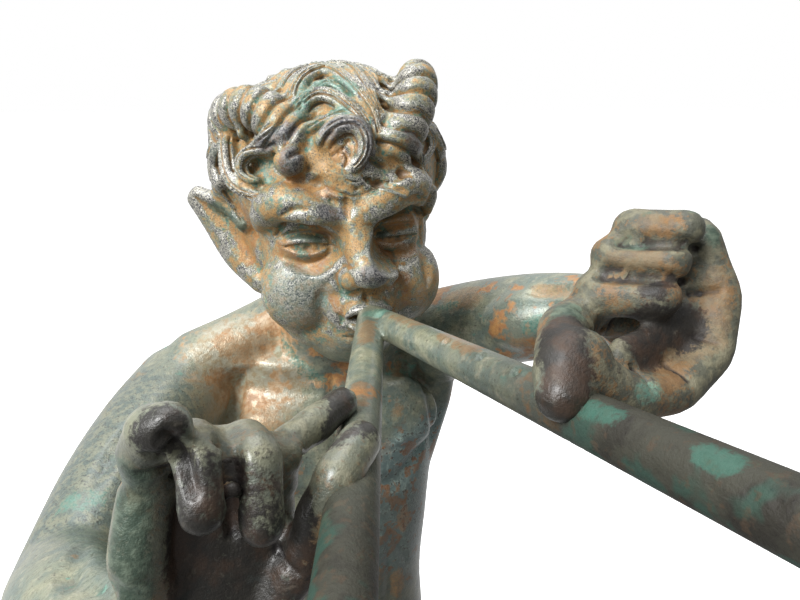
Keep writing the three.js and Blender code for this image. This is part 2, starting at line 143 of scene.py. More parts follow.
class Bar:
    """A rounded bar through stations [x, y, z, half width, half depth]."""

    slope = 0.01  # the share of the length over which its direction is read
    thinnest = 0.05  # the least half size
    bulge = 1.45  # how far round a domed end goes, in radians
    reading = 60  # the rings among which a point's nearest is found

    def __init__(self, stations: Points, side: Numbers = (1, 0, 0)) -> None:
        """Keeps the stations.

        Args:
            stations: Its centres and half sizes. A missing depth equals the width.
            side: The way its width lies, for all stations or for each.
        """
        rows = [list(s) + [s[3]] * (5 - len(s)) for s in stations]
        self.rows = np.array(rows, float)
        self.side = np.broadcast_to(np.asarray(side, float), (len(rows), 3))

    def rings(self, shares: Array) -> tuple[Array, Array, Array, Array, Array]:
        """The bar's frame at shares of its length.

        Args:
            shares: Where, from 0 to 1.

        Returns:
            The centres, the directions along, wide and deep, and the half sizes.
        """
        centre = curve_through(self.rows[:, :3], shares)
        ahead = curve_through(self.rows[:, :3], np.minimum(shares + self.slope, 1))
        behind = curve_through(self.rows[:, :3], np.maximum(shares - self.slope, 0))
        forward = unit(ahead - behind)
        side = curve_through(self.side, shares)
        wide = unit(side - forward * (forward * side).sum(1)[:, None])
        deep = np.cross(forward, wide)
        halves = np.maximum(curve_through(self.rows[:, 3:5], shares), self.thinnest)
        return centre, forward, wide, deep, halves

    def locate(self, points: Array) -> tuple[Array, Array, Array]:
        """Where points lie beside the bar.

        Args:
            points: The points.

        Returns:
            The share along it, the turn round it, and the distance from its middle line
            (1 on the bar's own surface).
        """
        shares = np.linspace(0, 1, self.reading)
        centre, forward, wide, deep, halves = self.rings(shares)
        square = (centre**2).sum(1)[None] - 2 * points @ centre.T
        ring = square.argmin(1)
        offset = points - centre[ring]
        length = np.linalg.norm(np.diff(centre, axis=0), axis=1).sum()
        share = shares[ring] + (offset * forward[ring]).sum(1) / length
        x = (offset * wide[ring]).sum(1) / halves[ring, 0]
        y = (offset * deep[ring]).sum(1) / halves[ring, 1]
        return share, np.arctan2(y, x) / math.tau, np.hypot(x, y)

    def mesh(self, sides: int = 20, steps: int = 20, dome: int = 4) -> Lump:
        """The closed bar with domed ends.

        Args:
            sides: Faces round it.
            steps: Rings along it.
            dome: Rings in each rounded end.

        Returns:
            A new bmesh.
        """
        total = steps + 2 * dome
        lump = bmesh.new()
        bmesh.ops.create_cone(lump, cap_ends=True, segments=sides, radius1=1, radius2=1, depth=2)
        upright = [e for e in lump.edges if abs(e.verts[0].co.z - e.verts[1].co.z) > 1]
        bmesh.ops.subdivide_edges(lump, edges=upright, cuts=total - 1)
        co = np.array([v.co for v in lump.verts])
        ring = np.rint((co[:, 2] + 1) / 2 * total)
        start = np.clip((dome - ring) / dome, 0, 1)
        end = np.clip((ring - dome - steps) / dome, 0, 1)
        rise = (end - start) * self.bulge
        centre, forward, wide, deep, halves = self.rings(np.clip((ring - dome) / steps, 0, 1))
        reach = halves.min(1) * np.sin(rise)
        placed = (
            centre
            + wide * (halves[:, 0] * co[:, 0] * np.cos(rise))[:, None]
            + deep * (halves[:, 1] * co[:, 1] * np.cos(rise))[:, None]
            + forward * reach[:, None]
        )
        for vert, place in zip(lump.verts, placed):
            vert.co = place
        bmesh.ops.recalc_face_normals(lump, faces=lump.faces)
        return lump


class Clay:
    """Closed lumps that are pressed together into one skin."""

    def __init__(self) -> None:
        """Starts with nothing on the stand."""
        self.mass = bmesh.new()

    def press(self, lump: Lump, pose: Pose = WORLD) -> None:
        """Adds a lump.

        Args:
            lump: The lump, which is used up.
            pose: The frame it was made in.
        """
        turn = Matrix(pose.turn.tolist()).to_4x4()
        bmesh.ops.transform(lump, matrix=Matrix.Translation(pose.centre) @ turn, verts=lump.verts)
        mesh = bpy.data.meshes.new("lump")
        lump.to_mesh(mesh)
        lump.free()
        self.mass.from_mesh(mesh)
        bpy.data.meshes.remove(mesh)

    def bar(
        self,
        stations: Points,
        side: Numbers = (1, 0, 0),
        pose: Pose = WORLD,
        sides: int = 20,
        steps: int = 20,
    ) -> None:
        """Adds a rounded bar."""
        self.press(Bar(stations, side).mesh(sides, steps), pose)

    def ball(self, centre: Numbers, radii: Numbers, pose: Pose = WORLD) -> None:
        """Adds an egg-shaped ball.

        Args:
            centre: Its middle.
            radii: Its radii along the axes.
            pose: The frame that both are given in.
        """
        lump = bmesh.new()
        bmesh.ops.create_icosphere(lump, subdivisions=4, radius=1)
        bmesh.ops.scale(lump, vec=Vector(radii), verts=lump.verts)
        bmesh.ops.translate(lump, vec=Vector(centre), verts=lump.verts)
        self.press(lump, pose)

    def skin(self, name: str, voxel: float, smooth: int) -> Piece:
        """Fuses the lumps into one closed skin.

        Args:
            name: The new object's name.
            voxel: The size of the skin's faces.
            smooth: How often the skin is smoothed.

        Returns:
            The object, in millimetres.
        """
        piece = show(name, self.mass)
        remesh = piece.modifiers.new("fuse", "REMESH")
        remesh.mode = "VOXEL"
        remesh.voxel_size = voxel
        soften = piece.modifiers.new("soften", "SMOOTH")
        soften.factor = 0.5
        soften.iterations = smooth
        settle(piece)
        return piece


def rank(part: bmesh.types.BMVert | bmesh.types.BMFace) -> float:
    """A number for the part's place, by which parts are put in the same order on every run."""
    place = part.co if isinstance(part, bmesh.types.BMVert) else part.calc_center_median()
    return place.dot(Vector((1, 17.3, 311.7)))


def turned(outline: Points, steps: int, merge: float) -> Lump:
    """A closed round body, turned about Z as on a lathe.

    Args:
        outline: Its (radius, height) outline, which starts and ends on the axis.
        steps: How many faces it has round.
        merge: Points closer than this become one.

    Returns:
        A new bmesh.
    """
    body = bmesh.new()
    rim = [body.verts.new((radius, 0, height)) for radius, height in outline]
    lines = [body.edges.new(pair) for pair in zip(rim, rim[1:])]
    axis = {"cent": (0, 0, 0), "axis": (0, 0, 1), "angle": math.tau}
    bmesh.ops.spin(body, geom=rim + lines, steps=steps, use_merge=True, **axis)
    bmesh.ops.remove_doubles(body, verts=body.verts, dist=merge)
    bmesh.ops.recalc_face_normals(body, faces=body.faces)
    body.verts.sort(key=rank)
    body.faces.sort(key=rank)
    return body


def show(name: str, body: Lump) -> Piece:
    """Puts a body into the scene.

    Args:
        name: The name of the new object and of its mesh.
        body: The body, which is used up.

    Returns:
        The object.
    """
    mesh = bpy.data.meshes.new(name)
    body.to_mesh(mesh)
    body.free()
    piece = bpy.data.objects.new(name, mesh)
    bpy.context.scene.collection.objects.link(piece)
    return piece


def smooth(mesh: bpy.types.Mesh) -> None:
    """Shades every face smooth."""
    for poly in mesh.polygons:
        poly.use_smooth = True


def settle(piece: Piece) -> None:
    """Applies a piece's modifiers to its mesh.

    Args:
        piece: The piece.
    """
    bpy.context.view_layer.update()
    graph = bpy.context.evaluated_depsgraph_get()
    made = bpy.data.meshes.new_from_object(piece.evaluated_get(graph))
    old = piece.data
    piece.modifiers.clear()
    piece.data = made
    bpy.data.meshes.remove(old)


class Skin:
    """A dense skin that strokes press and pull, as a sculptor's tools do."""

    def __init__(self, piece: Piece) -> None:
        """Reads the piece's mesh.

        Args:
            piece: The piece.
        """
        self.piece = piece
        self.edges_of: bpy.types.Mesh | None = None
        self.edge_ends = np.empty((0, 2), np.int32)
        self.read()

    def read(self) -> None:
        """Takes the points and their outward directions from the mesh."""
        mesh = self.piece.data
        count = len(mesh.vertices)
        self.points = np.empty(count * 3)
        mesh.vertices.foreach_get("co", self.points)
        self.points = self.points.reshape(-1, 3)
        self.outward = np.empty(count * 3)
        mesh.vertex_normals.foreach_get("vector", self.outward)
        self.outward = self.outward.reshape(-1, 3)
        self.tree: BVHTree | None = None

    def renew(self) -> None:
        """Gives the moved points back to the mesh and reads its directions again."""
        self.piece.data.vertices.foreach_set("co", self.points.ravel())
        self.piece.data.update()
        self.read()

    def refine(self, within: Region) -> None:
        """Splits each face of a region into four.

        Args:
            within: Whether each point lies in it.
        """
        self.renew()
        chosen = within(self.points)
        dense = bmesh.new()
        dense.from_mesh(self.piece.data)
        dense.edges.ensure_lookup_table()
        edges = [e for e in dense.edges if chosen[e.verts[0].index] and chosen[e.verts[1].index]]
        bmesh.ops.subdivide_edges(dense, edges=edges, cuts=1, use_grid_fill=True)
        dense.to_mesh(self.piece.data)
        dense.free()
        self.read()

    def lift(self, chosen: Array, heights: Array) -> None:
        """Moves the chosen points outward by their heights."""
        self.points[chosen] += self.outward[chosen] * heights[:, None]

    def relax(self, within: Region, times: int) -> None:
        """Smooths a region.

        Args:
            within: How much each point is smoothed, from 0 to 1.
            times: How often.
        """
        share = np.asarray(within(self.points), float)[:, None] * 0.5
        for _ in range(times):
            self.points += (self.mean_of_neighbours(self.points) - self.points) * share
        self.renew()

    def mean_of_neighbours(self, values: Array) -> Array:
        """The mean of the values at the points that each point joins.

        Args:
            values: One row for each point.

        Returns:
            One row for each point.
        """
        mesh = self.piece.data
        if self.edges_of is not mesh or len(self.edge_ends) != len(mesh.edges):
            ends = np.empty(len(mesh.edges) * 2, np.int32)
            mesh.edges.foreach_get("vertices", ends)
            self.edge_ends = ends.reshape(-1, 2)
            self.edges_of = mesh
        a, b = self.edge_ends.T
        count = len(self.points)
        joins = np.bincount(a, minlength=count) + np.bincount(b, minlength=count)
        total = np.empty_like(values)
        for k in range(values.shape[1]):
            column = values[:, k]
            total[:, k] = np.bincount(a, column[b], count) + np.bincount(b, column[a], count)
        return total / np.maximum(joins, 1)[:, None]

    def cast(self, starts: Array, ways: Array) -> Array:
        """Where rays first meet the skin.

        Args:
            starts: The rays' starts.
            ways: Their directions.

        Returns:
            The points that they meet, or the starts where they miss.
        """
        if self.tree is None:
            bpy.context.view_layer.update()
            self.tree = BVHTree.FromObject(self.piece, bpy.context.evaluated_depsgraph_get())
        found = []
        for start, way in zip(starts, ways):
            place = self.tree.ray_cast(Vector(start), Vector(way))[0]
            found.append(start if place is None else place)
        return np.array(found)

    def line(self, marks: Points, pose: Pose, way: Numbers, steps: int = 14) -> Array:
        """A smooth line on the skin.

        Args:
            marks: Points in front of the skin.
            pose: The frame that they are given in.
            way: The direction in which they are laid on, in that frame.
            steps: How many points the line gets.

        Returns:
            The line's points.
        """
        drawn = curve_through(marks, np.linspace(0, 1, steps))
        direction = pose.turn @ np.array(way, float)
        return self.cast(pose.out(drawn), np.tile(direction, (steps, 1)))

    def stroke(self, path: Array, width: float, height: float, taper: float = 0.6) -> None:
        """Raises the skin along a path, or presses a groove where the height is negative.

        Args:
            path: Its middle.
            width: Half its width.
            height: How far it stands out.
            taper: The share of both that is lost at its ends.
        """
        low, high = path.min(0) - width, path.max(0) + width
        near = np.flatnonzero(((self.points > low) & (self.points < high)).all(1))
        if not len(near):
            return
        start, step = path[:-1], path[1:] - path[:-1]
        offset = self.points[near][:, None, :] - start[None]
        length = np.maximum((step**2).sum(1), 1e-9)
        share = np.clip((offset * step).sum(2) / length, 0, 1)
        apart = np.linalg.norm(offset - step * share[..., None], axis=2)
        nearest = apart.argmin(1)
        row = np.arange(len(near))
        place = (nearest + share[row, nearest]) / len(start)
        fade = 1 - taper * (2 * place - 1) ** 2
        shape = np.clip(1 - (apart[row, nearest] / (width * fade)) ** 2, 0, 1) ** 2
        self.lift(near, height * fade * shape)

    def dab(self, centre: Array, radius: float, height: float, power: float = 2.0) -> None:
        """Raises a round spot, or presses a dent where the height is negative.

        Args:
            centre: Its middle.
            radius: Its radius.
            height: How far it stands out.
            power: How soft its edge is.
        """
        apart = np.linalg.norm(self.points - centre, axis=1)
        near = np.flatnonzero(apart < radius)
        shape = (1 - (apart[near] / radius) ** 2) ** power
        self.lift(near, height * shape)

    def stain(self, stains: Sequence[Stain]) -> Array:
        """Where stains lie on the skin.

        Args:
            stains: The middle line of each, and how far it reaches.

        Returns:
            One number for each point, from 0 outside to 1 in the middle.
        """
        spots_along, full = 8, 0.35
        share = np.zeros(len(self.points))
        for marks, reach in stains:
            for spot in curve_through(marks, np.linspace(0, 1, spots_along)):
                apart = np.linalg.norm(self.points - spot, axis=1)
                share = np.maximum(share, 1 - smoothstep(reach * full, reach, apart))
        return share

    def record(self, name: str, values: Array) -> None:
        """Keeps one number for each point on the mesh, for the patina."""
        kept = self.piece.data.attributes.new(name, "FLOAT", "POINT")
        kept.data.foreach_set("value", np.asarray(values, np.float32))

    def mark(self, broad: float, stains: dict[str, tuple[Stain, ...]]) -> None:
        """Records hollows and stains on the finished skin.

        Args:
            broad: The depth of a wide hollow that counts as 1.
            stains: The stains of each name.
        """
        self.renew()
        self.record("fine_hollow", self.hollowness(5, 0.12))
        self.record("broad_hollow", self.hollowness(40, broad))
        for name, kind in stains.items():
            self.record(name, self.stain(kind))

    def hollowness(self, times: int, depth: float) -> Array:
        """How deep each point lies under the smoothed skin.

        Args:
            times: How often it is smoothed. More finds wider hollows.
            depth: The depth that counts as 1.

        Returns:
            One number for each point, negative on ridges, from -1 to 1.
        """
        pull = 0.8
        smoothed = self.points.copy()
        for _ in range(times):
            smoothed += (self.mean_of_neighbours(smoothed) - smoothed) * pull
        under = ((smoothed - self.points) * self.outward).sum(1)
        return np.clip(under / depth, -1, 1)


# The satyr's body


@dataclass
class Torso:
    """The trunk, neck and shoulders of a slim boyish body.

    Attributes:
        collar: The height of the collar bones' outer ends.
        breast: The height of the breast muscles' middle.
        navel: The navel's height.
    """

    collar: float = 169.4
    breast: float = 158.5
    navel: float = 126.4

    def press(self, clay: Clay) -> None:
        """Presses the trunk's lumps on to the stand.

        Args:
            clay: The stand.
        """
        clay.bar(
            [
                [2, 0, 98, 10, 8], [2, 0, 108, 14.2, 10.2], [2.6, -0.5, 118, 14.2, 9.8],
                [2.9, -1.5, 130, 13, 8.7], [2.5, -1.8, 141, 14.3, 9.3],
                [1.5, -0.8, 151, 16.7, 10.2], [0.2, 0.2, 160, 17.6, 10], [-0.2, 0.6, 167, 14, 7.6],
            ],
            sides=40,
            steps=40,
        )
        clay.ball((0, 2.6, 168.4), (11, 6.2, 6.8))
        clay.bar([[-0.6, 1, 164, 8.8, 6.8], [0, -1, 172, 7, 6.6], [1, -4, 182, 6.4, 6.6]], sides=30)
        clay.ball((2.2, -7.2, 138), (7, 3.2, 12))
        for s in SIDES:
            collar = [s * 17.4, 0.5, self.collar + s * 0.4, 5, 5.2]
            clay.bar([[s * 3, 0.5, 176, 4, 4], [s * 9.4, 1, 172.6 + s * 0.4, 4.6, 5], collar])
            clay.ball((s * 7.8 + 0.5, -6.2, self.breast + s), (8.8, 3.8, 7.0))
            clay.ball((s * 8.4 + 0.4, 6.2, 161 + s), (8, 4.6, 8.4))
            clay.ball((s * 12 + 1.2, 2.4, 153), (5.2, 6.8, 11))
        clay.bar([[18, -1, 170, 3.2], [18.4, -1.6, 162, 3.1], [16.2, -2, 154, 3], [14, -2, 147, 3]])

    def carve(self, skin: Skin) -> None:
        """Strokes the muscles and bones that show through the skin.

        Args:
            skin: The skin.
        """
        in_front, behind = -22.0, 40.0

        def mark(start: float, width: float, height: float, marks: Points) -> None:
            """One stroke, laid on to (x, z) marks from in front or from behind."""
            way = (0, -math.copysign(1, start), 0)
            skin.stroke(skin.line([(x, start, z) for x, z in marks], WORLD, way), width, height)

        mark(in_front, 2.6, -0.9, [(0.4, 167), (0.9, 159), (1.6, 151)])
        mark(in_front, 1.9, -0.55, [(1.8, 149), (2.3, 138), (2.3, 127)])
        for s in SIDES:
            for start, width, height, marks in (
                (in_front, 2.6, -0.7, [(2, 151.4), (8, 150.6), (14, 154.4)]),
                (in_front, 1.9, 0.6, [(1.6, 168.4), (8, 169.6), (14, 170)]),
                (in_front, 2.2, -0.4, [(3, 165.6), (9, 166.4), (13, 166.4)]),
                (in_front, 1.7, -0.8, [(12.6, 168), (14.6, 162), (15, 156)]),
                (in_front, 2.0, -0.6, [(2.2, 148), (6.8, 143), (10.4, 135)]),
                (in_front, 1.7, -0.45, [(6.6, 140), (7.4, 131), (6, 122)]),
                (in_front, 1.6, -0.5, [(9, 121), (5, 117.4), (1, 116)]),
                *((in_front, 1.2, -0.35, [(1.5, z), (6.2, z - 0.6)]) for z in (143, 136.5, 130)),
                (behind, 2.0, -0.8, [(3.4, 167), (4.6, 160), (7, 153.4)]),
                (behind, 1.8, 0.6, [(5.6, 167.6), (7, 161), (10, 155)]),
                (behind, 2.0, -0.6, [(7, 152.6), (11, 149.6), (13.4, 145)]),
                (behind, 2.6, 0.6, [(3.6, 148), (4.2, 138), (4.6, 128)]),
            ):
                mark(start, width, height, [(1 + s * x, z) for x, z in marks])
        mark(behind, 2.2, -1.3, [(0, 176), (0.4, 163), (1.4, 148), (2.2, 128)])
        ahead = np.array([[0, 1.0, 0]])
        navel = skin.cast(np.array([[2.4, in_front, self.navel]]), ahead)[0]
        skin.dab(navel, 1.5, -1.2, 1.2)
        skin.dab(navel, 2.8, 0.3)
        for s in SIDES:
            place = (s * 9.4 + 0.6, in_front, self.breast - 2.1 + s)
            nipple = skin.cast(np.array([place]), ahead)[0]
            skin.dab(nipple, 1.7, 0.25)
            skin.dab(nipple, 0.8, 0.4, 1.2)


@dataclass
class Arms:
    """Two arms that hold the pipes out in front of the face, his right one first.

    Attributes:
        shoulders: The shoulder joints.
        elbows: The elbows.
        wrists: The wrists.
        thick: Half the thickness at those three places.
    """

    shoulders: Points = ((-19.6, 0.5, 164.6), (19.0, -0.5, 169.6))
    elbows: Points = ((-31.2, -30.0, 160.0), (34.0, -26.0, 179.6))
    wrists: Points = ((-18.6, -52.2, 170.0), (24.4, -47.4, 187.2))
    thick: Points = ((7.6, 5.2, 3.6), (7.4, 4.9, 3.1))

    def half(self, start: Array, end: Array, bulge: Points, radii: Numbers) -> Points:
        """The stations of an upper arm or a forearm.

        Args:
            start: Its upper joint.
            end: Its lower joint.
            bulge: How far its middle stands out.
            radii: Its half widths.

        Returns:
            The stations.
        """
        rows = []
        for i, radius in enumerate(radii):
            t = i / (len(radii) - 1)
            place = start + (end - start) * t + np.array(bulge) * math.sin(math.pi * t)
            rows.append([*place, radius])
        return rows

    def press(self, clay: Clay) -> None:
        """Presses both arms on to the stand.

        Args:
            clay: The stand.
        """
        joints = zip(self.shoulders, self.elbows, self.wrists, self.thick)
        for shoulder, elbow, wrist, (top, mid, end) in joints:
            s = math.copysign(1, shoulder[0])
            upper = [top, (top + mid) / 2 + 0.6, (top + 2 * mid) / 3 + 0.3, mid]
            fore = [mid, mid + 0.5, (mid + end) / 2 + 0.3, end]
            a, b, c = (np.array(p) for p in (shoulder, elbow, wrist))
            clay.bar(self.half(a, b, (0.4 + s * 0.8, 1.6, 0.6), upper), sides=28, steps=28)
            clay.bar(self.half(b, c, (s * 2.6, -1.4, -0.8), fore), sides=28, steps=28)
            biceps = (a * 0.42 + b * 0.58) + np.array([-s * 1.2, -0.6, 1.2])
            clay.bar([[*(biceps + (a - b) * 0.2), 3.4], [*biceps, 4.6], [*(biceps - (a - b) * 0.2), 3]])
            clay.ball(b + np.array([s * 0.6, 1.6, -1.4]), (3.6, 3.6, 3.6))

    def carve(self, skin: Skin) -> None:
        """Strokes the grooves between the muscles of the arms.

        Args:
            skin: The skin.
        """
        for shoulder, elbow, wrist in zip(self.shoulders, self.elbows, self.wrists):
            s = math.copysign(1, shoulder[0])
            a, b, c = (np.array(p) for p in (shoulder, elbow, wrist))
            grooves = (
                ([a + (b - a) * t + np.array([s * 2.0, -2.0, 0]) for t in (0.3, 0.45, 0.62)], -0.5),
                ([b + (c - b) * t + np.array([0, -1.0, 0]) for t in (0.1, 0.4, 0.8)], -0.5),
                ([b + np.array([-s * 3, -3, up]) for up in (-4, 0, 4)], -0.6),
            )
            away = np.array([0, -30.0, 34.0])  # towards the one who looks at the statuette
            length = 45.3
            for marks, height in grooves:
                high = [p + away for p in marks]
                skin.stroke(skin.line(high, WORLD, -away / length), 1.6, height)


class Grip(Enum):
    """How a finger or thumb lies: half its width, and its line from the palm to the tip."""

    RIGHT_THUMB = 1.65, (
        (-14, -54, 172), (-11.4, -54.4, 176), (-10.2, -54.8, 179.4), (-8.8, -54.4, 181.8),
        (-6.8, -52.2, 182.8),
    )
    RIGHT_LITTLE = 1.5, (
        (-20.2, -54, 182.8), (-20.2, -55.1, 186), (-19.5, -56.3, 187.9), (-18.6, -57.2, 188.5),
    )
    RIGHT_RING = 1.5, (
        (-17.6, -52.3, 183), (-17.6, -53.9, 185.5), (-17.2, -56.7, 186.1), (-17.3, -58.2, 183.6),
    )
    RIGHT_MIDDLE = 1.5, (
        (-14.8, -52, 182.2), (-14.5, -53.2, 184.6), (-14, -55.9, 184.9), (-14.1, -57.6, 181.6),
    )
    RIGHT_INDEX = 1.4, (
        (-12.4, -51.6, 180.6), (-11.8, -50.8, 182.4), (-9.2, -48.4, 182.6), (-6.6, -46, 182.8),
    )
    LEFT_THUMB = 1.65, (
        (21.0, -51, 194.8), (21.4, -53.2, 191), (19.6, -55, 187.3), (15.5, -56.4, 185.4),
        (11.2, -57.4, 185.9), (8.4, -57.6, 187.6),
    )
    LEFT_INDEX = 1.95, (
        (18.3, -50.8, 188.6), (13.5, -49.3, 189.2), (9.2, -51.6, 189.0), (6.6, -55.6, 189.0),
        (4.9, -58.4, 187.4),
    )
    LEFT_MIDDLE = 1.8, (
        (20, -51.3, 190.6), (14.9, -49, 190.9), (12.6, -50.6, 191.2), (15.1, -54.1, 191.7),
    )
    LEFT_RING = 1.65, (
        (20.6, -50.7, 193.1), (16.1, -48.7, 193.5), (13.9, -50.2, 193.9), (16.1, -53.7, 194.2),
    )
    LEFT_LITTLE = 1.55, (
        (21.2, -50.3, 195.1), (17.1, -48.9, 195.6), (15.4, -50.4, 196), (17.4, -53.3, 196.4),
    )

    @property
    def thick(self) -> float:
        """Half the finger's width."""
        return self.value[0]

    @property
    def knuckles(self) -> Array:
        """The points that its line passes through."""
        return np.array(self.value[1], float)


@dataclass
class Hands:
    """Two hands with their fingers round the pipes.

    Attributes:
        heel: Half the thickness of the right hand's outer edge at the wrist.
        swell: How much thicker a finger is at its joints, and between them.
        tip: How much thinner it is at its tip.
        groove: Half the width, and the height, of the grooves between the fingers.
        crease: Half the width, and the depth, of the creases inside the joints.
    """

    heel: float = 1.9
    swell: tuple[float, float] = (1.04, 0.93)
    tip: float = 0.9
    groove: tuple[float, float] = (1.0, -0.7)
    crease: tuple[float, float] = (0.45, 0.35)

    def press(self, clay: Clay) -> None:
        """Presses palms and fingers on to the stand.

        Args:
            clay: The stand.
        """
        self.right_palm(clay)
        self.left_palm(clay)
        for grip in Grip:
            self.finger(clay, grip)

    def right_palm(self, clay: Clay) -> None:
        """Presses the palm of the hand that hangs over the near pipe.

        Args:
            clay: The stand.
        """
        palm = [
            [-18.4, -52.4, 170.2, 3.6, 3.1], [-17, -52.4, 174.4, 4.9, 2.3],
            [-16.4, -51.8, 179.4, 5.1, 1.9], [-16.6, -51.8, 183, 4.2, 1.6],
        ]
        clay.bar(palm, sides=28)
        edge = [[-20.6, -53, 173, self.heel], [-21.4, -54.4, 177.6, 1.9], [-20.6, -54, 182.4, 1.7]]
        clay.bar(edge, (0, 0, 1))
        knuckles = [[-19.8, -53.6, 184.6, 1.5], [-16, -52.9, 184.3, 1.5], [-12.2, -51.8, 182.4, 1.6]]
        clay.bar(knuckles, (0, 0, 1))

    def left_palm(self, clay: Clay) -> None:
        """Presses the palm of the fist round the far pipe, and the joint of thumb and forefinger.

        Args:
            clay: The stand.
        """
        palm = [
            [24.8, -48.2, 187.2, 3.1, 2.7], [22.4, -50.2, 188.6, 4.8, 1.8],
            [18.4, -49.8, 190, 5.0, 1.8], [15.6, -48.9, 191, 4.2, 1.6],
        ]
        clay.bar(palm, side=(0, 0, 1), sides=28)
        web = [
            [20.6, -52.6, 189.2, 2.4, 1.3], [16.2, -53.8, 187.6, 2.4, 1.2],
            [11.4, -55.2, 187.6, 1.8, 1.1],
        ]
        clay.bar(web, (0, 0, 1))
        clay.ball((6.5, -57.0, 188.3), (2.8, 2.3, 3.0))
        clay.ball((8.6, -57.0, 187.2), (2.0, 1.8, 1.8))

    def finger(self, clay: Clay, grip: Grip) -> None:
        """Presses one finger, which swells at its joints.

        Args:
            clay: The stand.
            grip: How the finger lies.
        """
        count = 2 * len(grip.knuckles) - 1
        rows = []
        for i in range(count):
            t = i / (count - 1)
            place = curve_through(grip.knuckles, np.array([t]))[0]
            near_tip = self.tip if t > 0.9 else 1
            rows.append([*place, grip.thick * self.swell[i % 2] * near_tip])
        clay.bar(rows, (0, 0, 1), sides=18, steps=24)

    def part(self, skin: Skin, first: Grip, second: Grip, out: Array) -> None:
        """Presses the groove between two fingers.

        Args:
            skin: The skin.
            first: One finger.
            second: The other.
            out: The side from which the groove is seen.
        """
        shares = np.linspace(0.3, 1, 12)
        middle = (curve_through(first.knuckles, shares) + curve_through(second.knuckles, shares)) / 2
        beyond = middle[-1] + unit(middle[-1] - middle[-3]) * 1.3
        middle = np.vstack([middle, (middle[-1] + beyond) / 2, beyond])
        path = skin.cast(middle + out * 8, np.tile(-out, (len(middle), 1)))
        width, height = self.groove
        skin.stroke(path, width, height, 0.3)

    def fold(self, skin: Skin, grip: Grip) -> None:
        """Presses the creases across the inside of a finger's joints.

        Args:
            skin: The skin.
            grip: How the finger lies.
        """
        half, depth = self.crease
        marks = grip.knuckles
        for last, joint, following in zip(marks, marks[1:], marks[2:]):
            before = unit(joint - last)
            after = unit(following - joint)
            across = unit(before + after)
            inside = unit(after - before)
            spot = np.flatnonzero(np.linalg.norm(skin.points - joint, axis=1) < grip.thick * 1.6)
            offset = skin.points[spot] - joint
            band = np.clip(1 - (np.abs(offset @ across) / half) ** 2, 0, 1)
            facing = smoothstep(0.1, 0.6, skin.outward[spot] @ inside)
            skin.lift(spot, -depth * band * facing)

    def carve(self, skin: Skin) -> None:
        """Presses the grooves between the fingers and the creases across their joints.

        Args:
            skin: The skin.
        """
        left_out, right_out = unit(np.array((-0.63, -0.73, 0.26))), unit(np.array((0, -0.85, 0.52)))
        for first, second, out in (
            (Grip.LEFT_MIDDLE, Grip.LEFT_RING, left_out),
            (Grip.LEFT_RING, Grip.LEFT_LITTLE, left_out),
            (Grip.RIGHT_LITTLE, Grip.RIGHT_RING, right_out),
            (Grip.RIGHT_RING, Grip.RIGHT_MIDDLE, right_out),
        ):
            self.part(skin, first, second, out)
        for grip in Grip:
            self.fold(skin, grip)


# The satyr's goat legs


